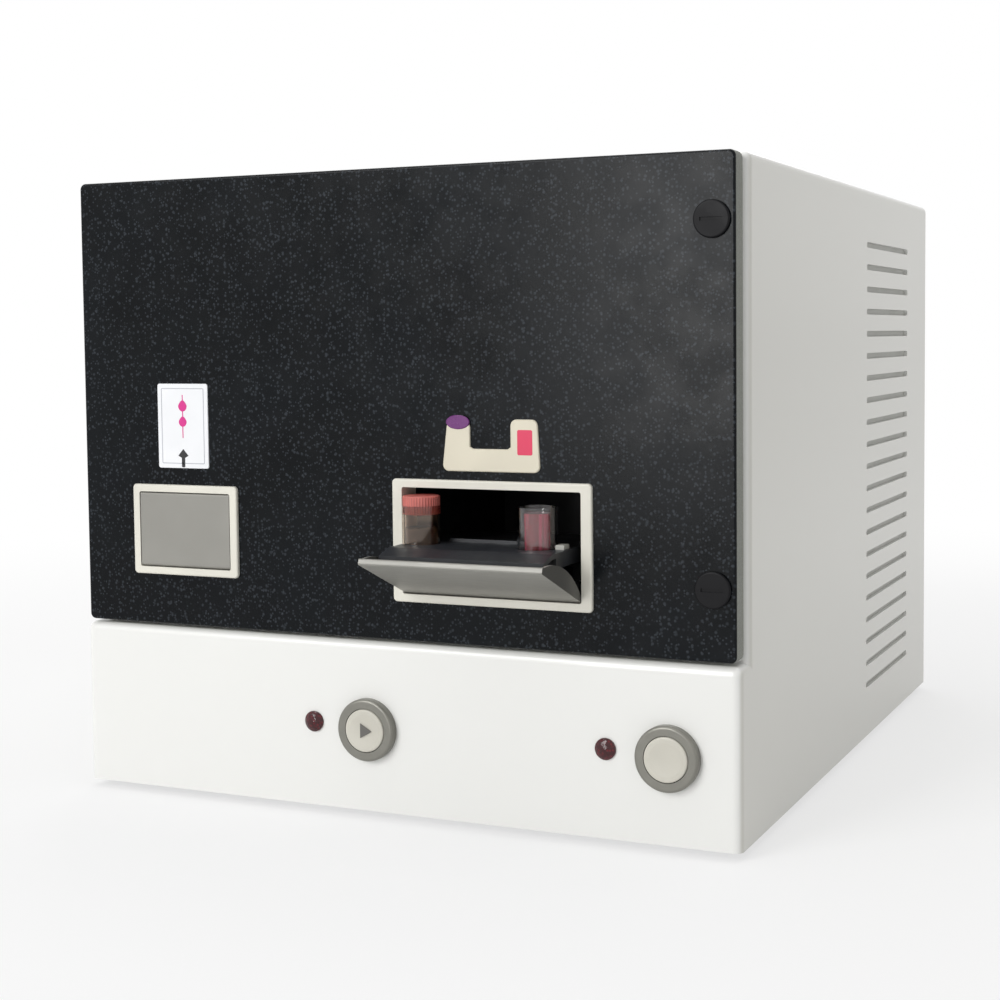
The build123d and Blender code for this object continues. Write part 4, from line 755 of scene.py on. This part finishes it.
class CYTOMETER_OT_studio(bpy.types.Operator):
    """Make the pale floor, the soft lights, the pale surround and the camera"""
    bl_idname = "cytometer.studio"
    bl_label = "Studio"

    def execute(self, context):
        self.floor(context.scene.cytometer_colours)
        self.surround(context.scene)
        self.lights(context.scene)
        self.camera(context.scene)
        context.scene.view_settings.view_transform = "Standard"
        return {"FINISHED"}

    def floor(self, colours):
        """A flat disc of rings that fades into the white surround far from the object."""
        radii = np.array((0.0, 0.6, 1.2, 2.4, 5.0, 9.0))
        steps = 96
        turn = np.linspace(0.0, 2 * np.pi, steps, endpoint=False)
        ring = np.stack((radii[1:, None] * np.cos(turn), radii[1:, None] * np.sin(turn),
                         np.zeros((len(radii) - 1, steps))), axis=2)
        points = np.vstack((ring.reshape(-1, 3), (0.0, 0.0, 0.0)))
        here = np.arange(steps)
        there = (here + 1) % steps
        faces = np.column_stack((np.full(steps, len(points) - 1), here, there)).tolist()
        for level in range(len(radii) - 2):
            low, high = level * steps, (level + 1) * steps
            faces += np.column_stack((low + here, high + here, high + there, low + there)).tolist()
        mesh = bpy.data.meshes.new("floor")
        mesh.from_pydata(points.tolist(), [], faces)
        floor = bpy.data.objects.new("floor", mesh)
        bpy.context.scene.collection.objects.link(floor)
        made = Finish("studio_floor", colours.floor, 0.9)
        made.paint(made.varied(0.5, 0.01))
        made.set("Specular IOR Level", 0.1)
        away = made.node("ShaderNodeVectorMath", operation="LENGTH")
        made.links.new(made.place.outputs["Object"], away.inputs[0])
        fade = made.ramp(away.outputs["Value"], 0.25, 1.2, 0.60, 1.0)
        glow = made.node("ShaderNodeEmission")
        glow.inputs["Color"].default_value = (1.0, 1.0, 1.0, 1.0)
        blend = made.node("ShaderNodeMixShader")
        made.links.new(made.math("MULTIPLY", fade, made.seen()), blend.inputs[0])
        made.links.new(made.shader.outputs[0], blend.inputs[1])
        made.links.new(glow.outputs[0], blend.inputs[2])
        made.links.new(blend.outputs[0], made.nodes["Material Output"].inputs["Surface"])
        mesh.materials.append(made.material)

    def surround(self, scene):
        """White where the camera, gloss or glass sees it, and a plain soft level as light."""
        lighting_level, seen_level = 0.42, 1.0
        world = bpy.data.worlds.new("studio_surround")
        scene.world = world
        world.use_nodes = True
        nodes, links = world.node_tree.nodes, world.node_tree.links
        back = nodes["Background"]
        level = nodes.new("ShaderNodeMapRange")
        links.new(seen_by(nodes, links), level.inputs[0])
        level.inputs["To Min"].default_value = lighting_level
        level.inputs["To Max"].default_value = seen_level
        links.new(level.outputs[0], back.inputs["Strength"])
        back.inputs["Color"].default_value = (1.0, 1.0, 1.0, 1.0)

    def lights(self, scene):
        """Soft rectangles: a key and a strip ahead on the left, a weak side fill, overhead and back fill."""
        aim = Vector((0.0, 0.0, 0.14))
        for name, place, width, height, power in (
            ("key", (-0.95, -2.2, 1.35), 1.2, 1.2, 27.0),
            ("front_strip", (-0.48, -2.2, 0.40), 0.45, 0.75, 8.0),
            ("side_fill", (2.3, 0.2, 1.0), 1.4, 1.4, 3.5),
            ("overhead", (0.0, 0.1, 2.2), 2.0, 2.0, 16.0),
            ("back_fill", (-0.9, 2.2, 1.2), 1.4, 1.4, 12.0),
        ):
            data = bpy.data.lights.new(name, "AREA")
            data.shape = "RECTANGLE"
            data.size, data.size_y, data.energy = width, height, power
            lamp = bpy.data.objects.new(name, data)
            scene.collection.objects.link(lamp)
            lamp.location = place
            lamp.rotation_euler = (aim - Vector(place)).to_track_quat("-Z", "Y").to_euler()

    def camera(self, scene):
        """Seen from the front right, a little above the middle of the object."""
        sizes = scene.cytometer_sizes
        data = bpy.data.cameras.new("camera")
        data.sensor_width, data.lens = 36.0, sizes.lens
        data.shift_x, data.shift_y = -0.035, -0.061
        turn_left, tip_down, roll = radians(23.92), radians(3.48), radians(-0.54)
        camera = bpy.data.objects.new("camera", data)
        scene.collection.objects.link(camera)
        camera.location = (sizes.camera_side, door_front - sizes.camera_distance, sizes.camera_height)
        turn = Matrix.Rotation(turn_left, 3, "Z") @ Matrix.Rotation(radians(90.0) - tip_down, 3, "X")
        camera.rotation_euler = (turn @ Matrix.Rotation(roll, 3, "Z")).to_euler()
        data.clip_start, data.clip_end = 0.02, 60.0
        scene.camera = camera


class CYTOMETER_PT_panel(bpy.types.Panel):
    """Sizes, colours and the steps that dress the instrument"""
    bl_idname = "CYTOMETER_PT_panel"
    bl_label = "Flow Cytometer"
    bl_space_type = "VIEW_3D"
    bl_region_type = "UI"
    bl_category = "Cytometer"

    def draw(self, context):
        for group in (context.scene.cytometer_colours, context.scene.cytometer_sizes):
            box = self.layout.box()
            for name in group.__annotations__:
                box.prop(group, name)
        for step in steps:
            self.layout.operator(step.bl_idname)


steps = (
    CYTOMETER_OT_housing, CYTOMETER_OT_door, CYTOMETER_OT_ports, CYTOMETER_OT_tubes, CYTOMETER_OT_cards,
    CYTOMETER_OT_controls, CYTOMETER_OT_back, CYTOMETER_OT_optics, CYTOMETER_OT_fluidics,
    CYTOMETER_OT_electronics, CYTOMETER_OT_studio,
)
classes = (CytometerColours, CytometerSizes, *steps, CYTOMETER_PT_panel)


def register():
    for kind in classes:
        bpy.utils.register_class(kind)
    bpy.types.Scene.cytometer_colours = PointerProperty(type=CytometerColours)
    bpy.types.Scene.cytometer_sizes = PointerProperty(type=CytometerSizes)


def unregister():
    del bpy.types.Scene.cytometer_sizes
    del bpy.types.Scene.cytometer_colours
    for kind in reversed(classes):
        bpy.utils.unregister_class(kind)


def main():
    """Make every piece in order."""
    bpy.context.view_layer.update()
    register()
    bpy.ops.cytometer.housing()
    bpy.ops.cytometer.door()
    bpy.ops.cytometer.ports()
    bpy.ops.cytometer.tubes()
    bpy.ops.cytometer.cards()
    bpy.ops.cytometer.controls()
    bpy.ops.cytometer.back()
    bpy.ops.cytometer.optics()
    bpy.ops.cytometer.fluidics()
    bpy.ops.cytometer.electronics()
    bpy.ops.cytometer.studio()


if __name__ == "__main__":
    main()
